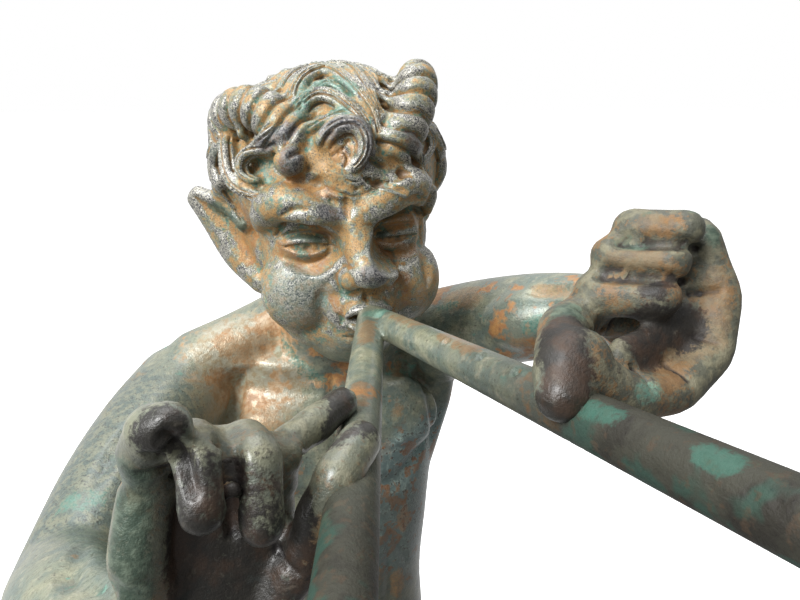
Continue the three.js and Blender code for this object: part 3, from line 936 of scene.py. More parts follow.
@dataclass
class GoatLeg:
    """One goat's leg with shaggy hair and a cloven hoof.

    Attributes:
        side: -1 for his right leg and 1 for his left.
        floor: The height of the plinth's top.
        hoof_length: The hoof's length.
        hoof_height: Its height.
        hoof_half: The width of one half of it.
        rounding: How far its edges are rounded.
    """

    side: int
    floor: float = 12.0
    hoof_length: float = 8.8
    hoof_height: float = 8.4
    hoof_half: float = 3.4
    rounding: float = 0.8

    @property
    def step(self) -> float:
        """How far the foot stands forward or back."""
        return -7.0 if self.side > 0 else 4.0

    @property
    def foot(self) -> float:
        """The foot's place across the plinth."""
        return 2 + self.side * 10.5

    def bars(self) -> list[tuple[Bar, int, int]]:
        """The thigh, shank and cannon bone, with the locks round and the rows along each.

        Returns:
            Each bar with those two numbers.
        """
        hip, foot, step = 2 + self.side * 6.8, self.foot, self.step
        knee, hock = [foot, -8 + step, 70], [foot, 7.6 + step, 42]
        thigh = [
            [hip, 0.5, 108, 9.3, 10.2], [hip + self.side, -2 + step * 0.3, 96, 9.2, 10.4],
            [foot - self.side, -6 + step * 0.7, 82, 7.3, 8.6], [*knee, 5.9, 6.3],
        ]
        shank = [
            [*knee, 5.9, 6.1], [foot, -2 + step, 60, 5.3, 5.9], [foot, 4.6 + step, 49, 4, 4.5],
            [*hock, 3.3, 3.9],
        ]
        cannon = [
            [*hock, 3.3, 3.9], [foot, 4.4 + step, 32, 2.9, 3.1], [foot, 1 + step, 22, 3.2, 3.3],
            [foot, 0.4 + step, 17, 3, 3.2],
        ]
        return [(Bar(thigh), 11, 8), (Bar(shank), 9, 7), (Bar(cannon), 7, 5)]

    def press(self, clay: Clay) -> None:
        """Presses the leg and its hoof on to the stand.

        Args:
            clay: The stand.
        """
        for bar, _, _ in self.bars():
            clay.press(bar.mesh(28, 24))
        for s in SIDES:
            clay.press(self.toe(s))
        clay.ball((self.foot, 0.6 + self.step, 20.6), (3.9, 4, 2.4))

    def toe(self, s: int) -> Lump:
        """One half of the cloven hoof: an outline seen from the side, drawn out and rounded.

        Args:
            s: -1 or 1, for either side of the cleft.

        Returns:
            A new bmesh.
        """
        front, top = -5.4, self.hoof_height
        heel = front + self.hoof_length
        outline = [(front, 0), (heel, 0), (heel - 0.4, 4.6), (heel - 2, top), (-2.2, top - 0.2)]
        block = bmesh.new()
        corners = [block.verts.new((-self.hoof_half / 2, y, z)) for y, z in outline]
        face = block.faces.new(corners)
        drawn = bmesh.ops.extrude_face_region(block, geom=[face])
        moved = [g for g in drawn["geom"] if isinstance(g, bmesh.types.BMVert)]
        bmesh.ops.translate(block, vec=(self.hoof_half, 0, 0), verts=moved)
        edges = {"geom": block.edges[:], "affect": "EDGES", "offset": self.rounding}
        bmesh.ops.bevel(block, segments=3, profile=0.5, material=-1, **edges)
        place = (self.foot + s * 2.1, self.step + 1, self.floor)
        bmesh.ops.translate(block, vec=place, verts=block.verts)
        bmesh.ops.recalc_face_normals(block, faces=block.faces)
        return block


@dataclass
class Fleece:
    """The shaggy hair on hips and legs: rows of pointed locks that overlap like slates.

    Attributes:
        lift: How far a lock's tip stands out.
        strands: Grooves across one lock.
        overlap: How long a lock is, in rows.
        hips: The stations of the bar that the hips' hair lies on.
    """

    lift: float = 1.5
    strands: int = 3
    overlap: float = 1.75
    hips: Points = ((2.3, -0.3, 119, 13.8, 9.6), (2, 1, 110, 14.4, 11.2), (2, 1.4, 98.4, 12.4, 10.4))

    def press(self, clay: Clay) -> None:
        """Presses the hips and both legs on to the stand.

        Args:
            clay: The stand.
        """
        clay.bar(self.hips)
        for side in SIDES:
            GoatLeg(side).press(clay)

    def bars(self) -> list[tuple[Bar, int, int]]:
        """Every bar that carries hair, with the locks round and the rows along each."""
        return [(Bar(self.hips), 17, 5), *GoatLeg(-1).bars(), *GoatLeg(1).bars()]

    def lock(self, around: Array, down: Array) -> Array:
        """How high the hair stands in a pattern of staggered locks.

        Args:
            around: The place across, in locks.
            down: The place along, in rows.

        Returns:
            Heights from 0 to about 1.
        """
        best = np.zeros_like(around)
        for back in (0, 1):
            row = np.floor(down) - back
            inside = (down - row) / self.overlap
            wander = 0.23 * np.sin(row * 2.4 + np.floor(around) * 1.7)
            place = around + 0.5 * (row % 2) + wander + 0.3 * (inside - 0.4) ** 2 * np.sin(row * 1.3)
            across = (place - np.floor(place) - 0.5) * 2
            half = np.clip(1.12 * (1 - inside**2.4), 0.02, 1)
            body = np.sqrt(np.clip(1 - (across / half) ** 2, 0, 1)) * (inside < 1)
            comb = 0.16 * np.cos(across / half * math.pi * self.strands) * body
            best = np.maximum(best, (0.25 + 0.75 * inside) * body + comb * inside)
        return best

    def comb(self, skin: Skin) -> None:
        """Raises the locks on the skin.

        Args:
            skin: The skin.
        """
        waist, ankle = (115, 119), (20.5, 24)
        low = np.flatnonzero(skin.points[:, 2] < 125)
        points = skin.points[low]
        nearest = np.full(len(low), math.inf)
        height = np.zeros(len(low))
        share = np.zeros(len(low))
        for bar, locks, rows in self.bars():
            along, turn, far = bar.locate(points)
            off = np.abs(far - 1) + np.maximum(np.abs(along - 0.5) - 0.5, 0) * 6
            closer = off < nearest
            nearest = np.where(closer, off, nearest)
            height = np.where(closer, self.lock(turn * locks, along * rows), height)
            share = np.where(closer, 1 - smoothstep(0.5, 0.8, off), share)
        share *= smoothstep(*ankle, points[:, 2]) * (1 - smoothstep(*waist, points[:, 2]))
        skin.lift(low, (height - 0.35) * self.lift * share)


# The satyr's head


@dataclass
class Skull:
    """The plain forms of a round boyish head, in the head's own frame.

    Attributes:
        brow: How far forward the brows stand where they meet.
        middle: Where the middle of the mouth and nose lies across the head.
    """

    brow: float = -11.4
    middle: float = 0.8

    def press(self, clay: Clay) -> None:
        """Presses the skull, cheeks, jaw and nose on to the stand.

        Args:
            clay: The stand.
        """
        m = self.middle
        clay.ball((-0.2, 1.5, 3.4), (13.1, 12.1, 11.4), HEAD)
        neck_and_jaw = [
            [0, -1.4, 4, 10.4, 10.4], [0, -1.6, -1, 10.6, 10.2], [0, -1.8, -6, 10.4, 10.2],
            [0, -2.6, -10.5, 9.6, 9.8], [0, -4, -14, 7, 7.6],
        ]
        clay.bar(neck_and_jaw, pose=HEAD, sides=40, steps=30)
        clay.ball((0, -9.2, -14.4), (3.6, 2.8, 2.6), HEAD)
        clay.ball((-4.0, -9.0, 4.3), (3.2, 2.0, 1.7), HEAD)
        clay.ball((m, -10.0, -10.8), (4.6, 2.9, 4.1), HEAD)
        nose = [[m - 0.7, -10.7, 1.4, 2.1], [m - 0.1, -11.9, -1.4, 2.0], [m + 0.5, -13.1, -4.0, 2.2]]
        clay.bar(nose, pose=HEAD)
        clay.ball((m + 0.8, -14.3, -5.1), (2.5, 2.1, 1.9), HEAD)
        for s in SIDES:
            self.half(clay, s)

    def half(self, clay: Clay, s: int) -> None:
        """Presses one puffed cheek, half the jaw, one nostril and one brow.

        Args:
            clay: The stand.
            s: -1 for his right side and 1 for his left.
        """
        lift = s * 0.3
        clay.ball((s * 6.2 + 0.2, -6.3, -9.2), (5.2, 4.8, 5.8), HEAD)
        clay.bar([[s * 8.8, 0, -10, 3], [s * 5.6, -5.6, -14, 3], [0, -8.2, -15.2, 2.8]], pose=HEAD)
        clay.ball((self.middle + 0.8 + s * 2.1, -12.7, -6.1), (1.5, 1.9, 1.5), HEAD)
        brow = [
            [s * 10.0, -5.0, -0.8, 1.3], [s * 9.2, -7.7, 1.7 + lift, 2.0],
            [s * 6.9, -9.7, 3.0 + lift, 2.3], [s * 4.0 - 0.2, -11.0, 1.8 + lift, 2.2],
            [s * 2.0 - 0.4, self.brow, 0.7 + lift, 1.9],
        ]
        clay.bar(brow, pose=HEAD)


@dataclass
class Face:
    """Eyes, nose, mouth and folds of a goat-god who blows hard: a stock satyr's face.

    Attributes:
        lid: How thick the eyelids are.
        eyeball: The eyeballs' radius.
        eye_front: How far forward the eyeballs reach.
        middle: Where the middle of the mouth and nose lies across the head.
        ahead: A place in front of the face, from which strokes are laid on to it.
    """

    lid: float = 0.36
    eyeball: float = 4.2
    eye_front: float = -9.9
    middle: float = 0.8
    ahead: float = -24

    def draw(self, skin: Skin, marks: Points, width: float, height: float) -> None:
        """Lays one stroke on to (x, z) places of the face from the front."""
        line = [(x + self.middle, self.ahead, z) for x, z in marks]
        skin.stroke(skin.line(line, HEAD, (0, 1, 0)), width, height)

    def touch(self, skin: Skin, x: float, z: float, radius: float, height: float) -> None:
        """Lays one dab on to an (x, z) place of the face from the front."""
        spot = skin.line([(x + self.middle, self.ahead, z)] * 2, HEAD, (0, 1, 0), 2)[0]
        skin.dab(spot, radius, height)

    def eye(self, skin: Skin, x: float, z: float, upper: float, lower: float) -> None:
        """Sets an eyeball with its two lids into its socket.

        Args:
            skin: The skin.
            x: Its place across the face.
            z: Its height.
            upper: How far the upper lid is raised.
            lower: How far the lower lid is drawn down.
        """
        local = HEAD.into(skin.points)
        u, v = local[:, 0] - x, local[:, 2] - z
        near = np.flatnonzero((np.hypot(u / 1.25, v) < 3.4) & (np.abs(local[:, 1] + 11) < 6))
        u, v, place = u[near], v[near], local[near]
        reach = np.sqrt(np.clip(self.eyeball**2 - 0.8 * u**2 - v**2, 0.5, None))
        lean = 0.35 * (abs(x) * 0.09) * np.abs(u * np.sign(x) + 2)
        ball = self.eye_front + self.eyeball - reach + lean
        open_share = np.clip(1 - (u / 2.6) ** 2, 0, 1)
        edge = np.maximum(v - upper * open_share**0.7, -v - lower * open_share)
        lid = smoothstep(-0.16, 0.22, edge) * self.lid * (1 - 0.8 * smoothstep(0.3, 1.6, edge))
        crease = np.exp(-(((edge - 1.15) / 0.35) ** 2)) * smoothstep(-0.3, 0.6, v) * 0.6
        iris = np.hypot(u - 0.1, v + 0.1)
        drilled = 0.4 * np.exp(-((iris / 0.45) ** 2)) + 0.12 * np.exp(-(((iris - 1.1) / 0.2) ** 2))
        formed = ball - lid + crease + drilled * (edge < 0)
        share = 1 - smoothstep(1.9, 3.4, np.hypot(u / 1.25, v))
        place[:, 1] += (formed - place[:, 1]) * share
        skin.points[near] = HEAD.out(place)

    def soft(self, points: Array) -> Array:
        """How much each place is smoothed before the features are cut.

        Args:
            points: The places.

        Returns:
            A number for each, from 0 to 1.
        """
        local = HEAD.into(points)
        far = np.linalg.norm((local - np.array([0.6, -12, -5])) / np.array([10, 7, 9.5]), axis=1)
        return 1 - smoothstep(0.75, 1.0, far)

    def carve(self, skin: Skin) -> None:
        """Works all the face's features into the skin.

        Args:
            skin: The skin.
        """
        for s in SIDES:
            self.touch(skin, s * 5.4, -1.4, 3.6, -1.4)
            self.touch(skin, s * 3.2, -0.8, 2.4, -1.1)
        skin.renew()
        skin.relax(self.soft, 14)
        self.eye(skin, -5.0, -2.9, 0.5, 0.7)
        self.eye(skin, 5.7, -2.8, 0.3, 0.45)
        skin.renew()
        for s in SIDES:
            self.half(skin, s)
        self.draw(skin, [(-1.2, 3.6), (-1.2, 2.2), (-1.1, 1.0)], 0.9, -0.5)
        self.draw(skin, [(0.3, -8.3), (0.4, -8.9), (0.4, -9.5)], 0.7, -0.5)
        self.mouth(skin)

    def half(self, skin: Skin, s: int) -> None:
        """Draws the folds of one side of the face, from brow to nostril.

        Args:
            skin: The skin.
            s: -1 for his right side and 1 for his left.
        """
        for shift, width, height, marks in (
            (0, 0.9, -0.9, [(9.4, -1.8), (7.6, 0.2), (5, 0.3), (2.4, -0.8)]),  # under the brow
            (0, 0.7, -0.4, [(8.4, 1.6), (7.0, 2.4), (5.6, 2.4)]),
            (0, 1.1, -0.6, [(7.6, 5.2), (4.6, 4.9), (1.6, 3.6)]),
            (0, 0.8, -0.2, [(7.4, -5.2), (5.4, -5.9), (3.2, -5.0)]),  # under the eye
            (0, 1.2, -0.3, [(3.5, -6.4), (4.7, -8.4), (4.9, -10.6), (4.2, -12.6)]),
            (0.8, 0.6, -0.4, [(2.1, -4.2), (3.3, -5.0), (3.8, -6.4), (3.2, -7.9)]),  # round the nostril
        ):
            self.draw(skin, [(shift + s * x, z) for x, z in marks], width, height)
        self.touch(skin, 0.7 + s * 1.4, -7.35, 0.9, -1.1)
        self.draw(skin, [(s * 1.8, -8.4), (s, -8.5), (s * 0.2, -8.3)], 0.5, -0.3)

    def mouth(self, skin: Skin) -> None:
        """Draws the pursed lips, the gap between them and the folds round them.

        Args:
            skin: The skin.
        """
        upper_lip = [(-2.0, -10.9), (-1.2, -10.2), (0.3, -10), (1.9, -10), (3.2, -10.7)]
        lower_lip = [(-1.7, -12.3), (-0.5, -12.8), (1, -13.0), (2.6, -12.6), (3.4, -12)]
        gap = [(-1.8, -11.4), (-0.8, -11.3), (0.6, -11.4), (2.4, -11.4), (3.4, -11.3)]
        self.draw(skin, upper_lip, 1.0, 1.0)
        self.draw(skin, lower_lip, 0.95, 0.8)
        self.draw(skin, gap, 0.75, -2.2)
        self.draw(skin, [(-2.5, -14.1), (0.3, -14.5), (3, -14.1)], 0.8, -0.5)
        self.draw(skin, [(-3.1, -10.7), (-2.7, -11.5), (-2.9, -12.3)], 0.7, -0.5)
        self.draw(skin, [(4.3, -10.5), (4, -11.4), (4.2, -12.2)], 0.7, -0.5)


@dataclass
class Horn:
    """A small ringed horn.

    Attributes:
        marks: Its middle line, in the head's frame.
        rings: How many rings it has.
        relief: How deep the grooves between them are.
        root: Half its thickness at the root.
        stations: How many stations its bar gets.
    """

    marks: Points
    rings: int
    relief: float
    root: float = 2.6
    stations: int = 9

    @property
    def bar(self) -> Bar:
        """The horn's bar, in the head's frame.

        Returns:
            A new bar.
        """
        shares = np.linspace(0, 1, self.stations)
        line = curve_through(self.marks, shares)
        girth = self.root - 0.6 * shares**2
        return Bar([[*place, radius] for place, radius in zip(line, girth)])

    def press(self, clay: Clay) -> None:
        """Presses the horn on to the head."""
        clay.press(self.bar.mesh(24, 40), HEAD)

    def carve(self, skin: Skin) -> None:
        """Turns the grooves between the rings.

        Args:
            skin: The skin.
        """
        bar = self.bar
        local = HEAD.into(skin.points)
        middle = bar.rows[self.stations // 2, :3]
        near = np.flatnonzero(np.linalg.norm(local - middle, axis=1) < 14)
        along, turn, far = bar.locate(local[near])
        wave = along * self.rings + 0.12 * np.sin(math.tau * turn * 2)
        groove = np.exp(-(((wave - np.floor(wave) - 0.5) / 0.16) ** 2))
        off = smoothstep(0.5, 0.75, far) * (1 - smoothstep(1.25, 1.5, far)) * (along < 1.04)
        skin.lift(near, (0.18 - groove) * self.relief * off)


HORNS = (
    Horn(((-5.4, -7.6, 9.8), (-8.8, -4.6, 12.4), (-12.3, -0.6, 11.7), (-13.6, 2.6, 8)), 9, 0.48),
    Horn(((6.6, -8, 8), (8.9, -6.2, 12), (10.2, -2.4, 14.56), (11, 3, 13.5)), 7, 0.75),
)


@dataclass
class Ears:
    """Two pointed goat's ears that hang out and down, in the head's own frame.

    Attributes:
        right: The right ear's middle line, from its lobe to its tip.
        left: The left ear's.
        halves: Half the thickness and half the width at each place.
    """

    right: Points = ((-10.6, -1.4, -9.6), (-12.6, 0.4, -6), (-15, 2.2, -2), (-18.3, 4, 1.2))
    left: Points = ((9.2, -0.6, -9), (9.5, 1.6, -5), (9.8, 4.4, -0.6), (10.5, 7.2, 3.6))
    halves: Points = ((1.2, 2.2), (1.3, 3.7), (1.2, 3.5), (1.0, 1.5))

    def press(self, clay: Clay) -> None:
        """Presses both ears on to the head.

        Args:
            clay: The stand.
        """
        for s, marks in zip(SIDES, (self.right, self.left)):
            rows = [[*place, thick, wide - 0.2 * s] for place, (thick, wide) in zip(marks, self.halves)]
            clay.press(Bar(rows, (0.55 * s, -0.8, 0)).mesh(24, 24), HEAD)

    def carve(self, skin: Skin) -> None:
        """Hollows the ears' shells and leaves their curled rims.

        Args:
            skin: The skin.
        """
        ahead = -24
        for marks in (self.right, self.left):
            middle = [(x, ahead, z) for x, _, z in marks]
            path = skin.line(middle, HEAD, (0, 1, 0))
            skin.stroke(path, 2.1, -1.0, 0.75)
            skin.stroke(path, 0.8, 0.3, 0.75)


class Lock(Enum):
    """A lock of the front hair.

    Each holds half its width, its strands, its lift, and its line as (longitude, latitude).
    """

    FORELOCK = 1.3, 4, 0.9, (
        (-26, 42), (-22, 50), (-14, 54), (-4, 52), (4, 46), (10, 39), (13.5, 30), (13, 20),
    )
    FORE_RIDGE = 0.65, 1, 0.9, ((-17, 33), (-10, 37), (-3, 40), (4, 40), (9, 36))
    DARK_CURL = 1.3, 2, 1.4, ((-10, 26), (-5, 31), (2, 33), (8, 30), (9.5, 22), (7, 15), (3, 11))
    CURL_CORE = 0.7, 1, 0.5, ((-1, 12), (0.5, 17), (-2.5, 20), (-6, 18))
    INNER_ARCH = 1.35, 4, 1.1, (
        (-30, 46), (-34, 57), (-37, 69), (-20, 78), (4, 75), (13, 63), (17.5, 51), (20, 39), (19, 28),
    )
    LOW_ARCH = 1.2, 3, 1.2, (
        (-49, 58), (-67, 71), (-114, 82), (70, 84), (46, 76), (28, 62), (25, 50), (24, 38),
    )
    TOP_ARCH = 1.1, 3, 1.3, (
        (-99, 68), (-104, 76), (-117, 83), (131, 86), (95, 79), (56, 69), (40, 57),
    )
    CREST = 1.1, 3, 1.2, ((-111, 79), (161, 83), (101, 78), (80, 70), (62, 61), (57, 53))
    KNOB_STEM = 1.0, 2, 1.0, ((-23, 37), (-25, 28), (-26, 20))
    SPUR = 1.2, 2, 1.2, ((-42, 24), (-36, 28), (-30, 32), (-24, 36))
    SMALL_RING = 0.85, 1, 0.9, ((-37, 22), (-47, 20), (-51, 13), (-48, 7), (-41, 5))
    LONG_WAVE = 1.2, 3, 0.7, ((-78, 26), (-67, 17), (-61, 8), (-56, 2), (-49, -2), (-40, -3))
    SIDE_RING = 0.95, 2, 0.5, ((-74, 30), (-90, 27), (-88, 19), (-87, 9), (-85, 0))
    RIGHT_CURL = 0.9, 2, 0.4, ((52, 27), (66, 26), (66, 16), (59, 11), (50, 9))
    UPPER_CRESCENT = 0.75, 1, 0.8, ((-9, 11), (-5, 8), (0, 5), (5, 4), (11, 7))
    LOWER_CRESCENT = 0.75, 1, 1.0, ((-10, 3), (-7, 0), (-2, -2), (4, -3), (11, 0))
    RIGHT_TEMPLE = 1.0, 3, 0.4, ((44, 14), (44, 4), (42, -6))
    CROWN = 1.0, 3, 0.8, ((-92, 52), (-97, 62), (-104, 72))
    RIGHT_CROWN = 1.3, 3, 0.8, ((60, 66), (65, 59), (71, 55))
    LEFT_TEMPLE = 0.9, 2, 0.4, ((-85, 0), (-83, -7), (-82, -15))
    SMALL_ARCH = 0.8, 2, 0.5, ((-20, 61), (-10, 67), (2, 64), (10, 56))
    TEMPLE_CURL = 0.9, 2, 0.5, ((-60, 30), (-66, 40), (-58, 48), (-48, 46))
    RIGHT_ARCH = 1.0, 3, 0.7, ((34, 58), (40, 48), (52, 42), (66, 36))


@dataclass
class Curl:
    """One lock of hair.

    Attributes:
        half: Half its width where it is widest.
        strands: How many grooves are combed into it.
        lift: How far its middle stands off the head.
        headings: Its line, as directions from the hair's centre.
        cored: Whether it winds round a small ball.
    """

    half: float
    strands: int
    lift: float
    headings: Array
    cored: bool = False


@dataclass
class Hair:
    """Short wild curls over the whole head, in the head's own frame.

    Attributes:
        centre: Where longitudes and latitudes start from.
        radii: The half sizes of the hair's even surface above that.
        nape: Its half sizes below.
        knobs: Each small ball's longitude and latitude, how far it stands off, and its radius.
        worn: Spots under the front curls that are rubbed smooth, in the statuette's frame.
        lean: How far the hair stands out further on his right.
        tuck: How much closer it lies on his left.
        root: How far the locks are sunk into the head.
        rows: The latitude of each row of curls, and how many curls it has.
        wound: How wide a curl winds, in radians.
    """

    centre: Place = (0.0, 1.5, 4.0)
    radii: Place = (14.0, 12.7, 11.2)
    nape: Place = (12.8, 13.6, 14.6)
    knobs: Sequence[tuple[tuple[float, float], float, float]] = (
        ((-25, 16), 0.6, 1.75),
        ((28, 24), 0.2, 2.1),
        ((-96, 55), 0.9, 0.9),
        ((-98, 63), 1.0, 0.9),
        ((-101, 70), 1.1, 0.9),
    )
    worn: Points = ((-4.4, -18.3, 196.7), (-2.2, -19.6, 196.1), (-0.8, -20.4, 196.3))
    lean: float = 0.6
    tuck: float = 1.1
    root: float = 0.4
    rows: Sequence[tuple[int, int]] = ((64, 5), (42, 8), (18, 9), (-6, 9), (-29, 8), (-50, 6))
    wound: float = 0.235

    def surface(self, headings: Array) -> tuple[Array, Array]:
        """The hair's even surface.

        Args:
            headings: Directions from the hair's centre.

        Returns:
            The points there, and the outward directions.
        """
        low = smoothstep(0, 0.6, -headings[:, 2:3])
        radii = np.array(self.radii) + (np.array(self.nape) - np.array(self.radii)) * low
        shift = self.lean * smoothstep(0, 0.9, -headings[:, 0:1])
        shift = shift + self.tuck * smoothstep(0.3, 0.9, headings[:, 0:1])
        place = np.array(self.centre) + radii * headings - shift * np.array((1.0, 0, 0))
        return place, unit(headings / radii)

    def heading(self, marks: Points) -> Array:
        """Directions for pairs of longitude and latitude, in degrees."""
        around, up = np.radians(np.array(marks, float)).T
        return np.stack([np.cos(up) * np.sin(around), -np.cos(up) * np.cos(around), np.sin(up)], 1)

    def curls(self) -> list[Curl]:
        """Every lock: those of the front first, then the curls of the sides and back.

        Returns:
            The locks in their order.
        """
        made = []
        for lock in Lock:
            half, strands, lift, marks = lock.value
            made.append(Curl(half, strands, lift, self.heading(marks)))
        for row, (up, count) in enumerate(self.rows):
            shift = 0.5 * (row % 2)
            for k in range(count):
                around = 82 + 196 * (k + shift) / (count - 0.5 + shift)
                wind = 1 if (row + k) % 2 else -1
                start = 1.1 + 0.9 * math.sin(row * 2.1 + k * 1.3)
                line = self.spiral(self.heading([(around, up)])[0], start, wind)
                made.append(Curl(1.55, 2, 0.65, line, cored=True))
        return made

    def spiral(self, out: Array, start: float, wind: int) -> Array:
        """The line of one curl of the sides and back.

        Args:
            out: The direction of its middle.
            start: Where it starts, in radians.
            wind: Which way round it winds, 1 or -1.

        Returns:
            Directions from the hair's centre.
        """
        east = unit(np.cross((0, 0, 1), out))
        north = np.cross(out, east)
        marks = []
        for t in np.linspace(0, 1, 8):
            turn = start + wind * t * math.tau * 0.92
            far = self.wound * (1 - 0.72 * t)
            marks.append(out + (east * math.cos(turn) + north * math.sin(turn)) * far)
        return unit(np.array(marks))

    def path(self, curl: Curl) -> tuple[Array, Array, Array]:
        """Where a lock lies on the head.

        Args:
            curl: The lock.

        Returns:
            Its middle line, the outward directions there, and its half widths.
        """
        shares = np.linspace(0, 1, 15)
        place, out = self.surface(unit(curve_through(curl.headings, shares)))
        width = curl.half * (1 - 0.42 * shares**1.5) * (0.75 + 0.25 * np.sin(np.pi * shares))
        lift = curl.lift * (0.6 + 0.4 * np.sin(np.pi * shares)) - self.root
        return place + out * lift[:, None], out, width

    def press(self, clay: Clay) -> None:
        """Presses every lock on to the head.

        Args:
            clay: The stand.
        """
        for curl in self.curls():
            place, out, width = self.path(curl)
            rows = [[*p, w * 0.85 + self.root, w] for p, w in zip(place, width)]
            clay.press(Bar(rows, out).mesh(14, 26, 3), HEAD)
            if curl.cored:
                clay.ball(place[-1] - out[-1] * 0.1, (1.7, 1.7, 1.7), HEAD)
        for marks, rise, radius in self.knobs:
            knob, out = self.surface(self.heading([marks]))
            clay.ball(knob[0] + out[0] * rise, (radius,) * 3, HEAD)
        cap = [[0, 2.6, 1, 12.2, 10.8], [0, 4, -4, 10.2, 8.6], [0, 5, -9, 7.2, 6.2]]
        clay.bar(cap, pose=HEAD, sides=30)

    def comb(self, skin: Skin) -> None:
        """Draws the strands into every lock, and a groove along both its sides.

        Args:
            skin: The skin.
        """
        for curl in self.curls():
            place, out, width = self.path(curl)
            across = np.cross(unit(np.gradient(place, axis=0)), out)
            for k in range(curl.strands):
                side = (k + 1) / (curl.strands + 1) * 2 - 1
                rise = math.sqrt(1 - side**2) * (width * 0.85 + self.root)
                line = place + across * (width * side)[:, None] + out * rise[:, None]
                skin.stroke(HEAD.out(line), 0.26, -0.42, 0.3)
            for side in (-1.04, 1.04):
                line = place + across * (width * side)[:, None] + out * 0.1
                skin.stroke(HEAD.out(line), 0.36, -0.4, 0.3)
        skin.relax(self.rubbed, 40)

    def rubbed(self, points: Array) -> Array:
        """How far each point lies within the worn spots, from 0 to 1."""
        apart = [np.linalg.norm(points - np.array(spot), axis=1) for spot in self.worn]
        return 1 - smoothstep(0.9, 1.9, np.min(apart, axis=0))


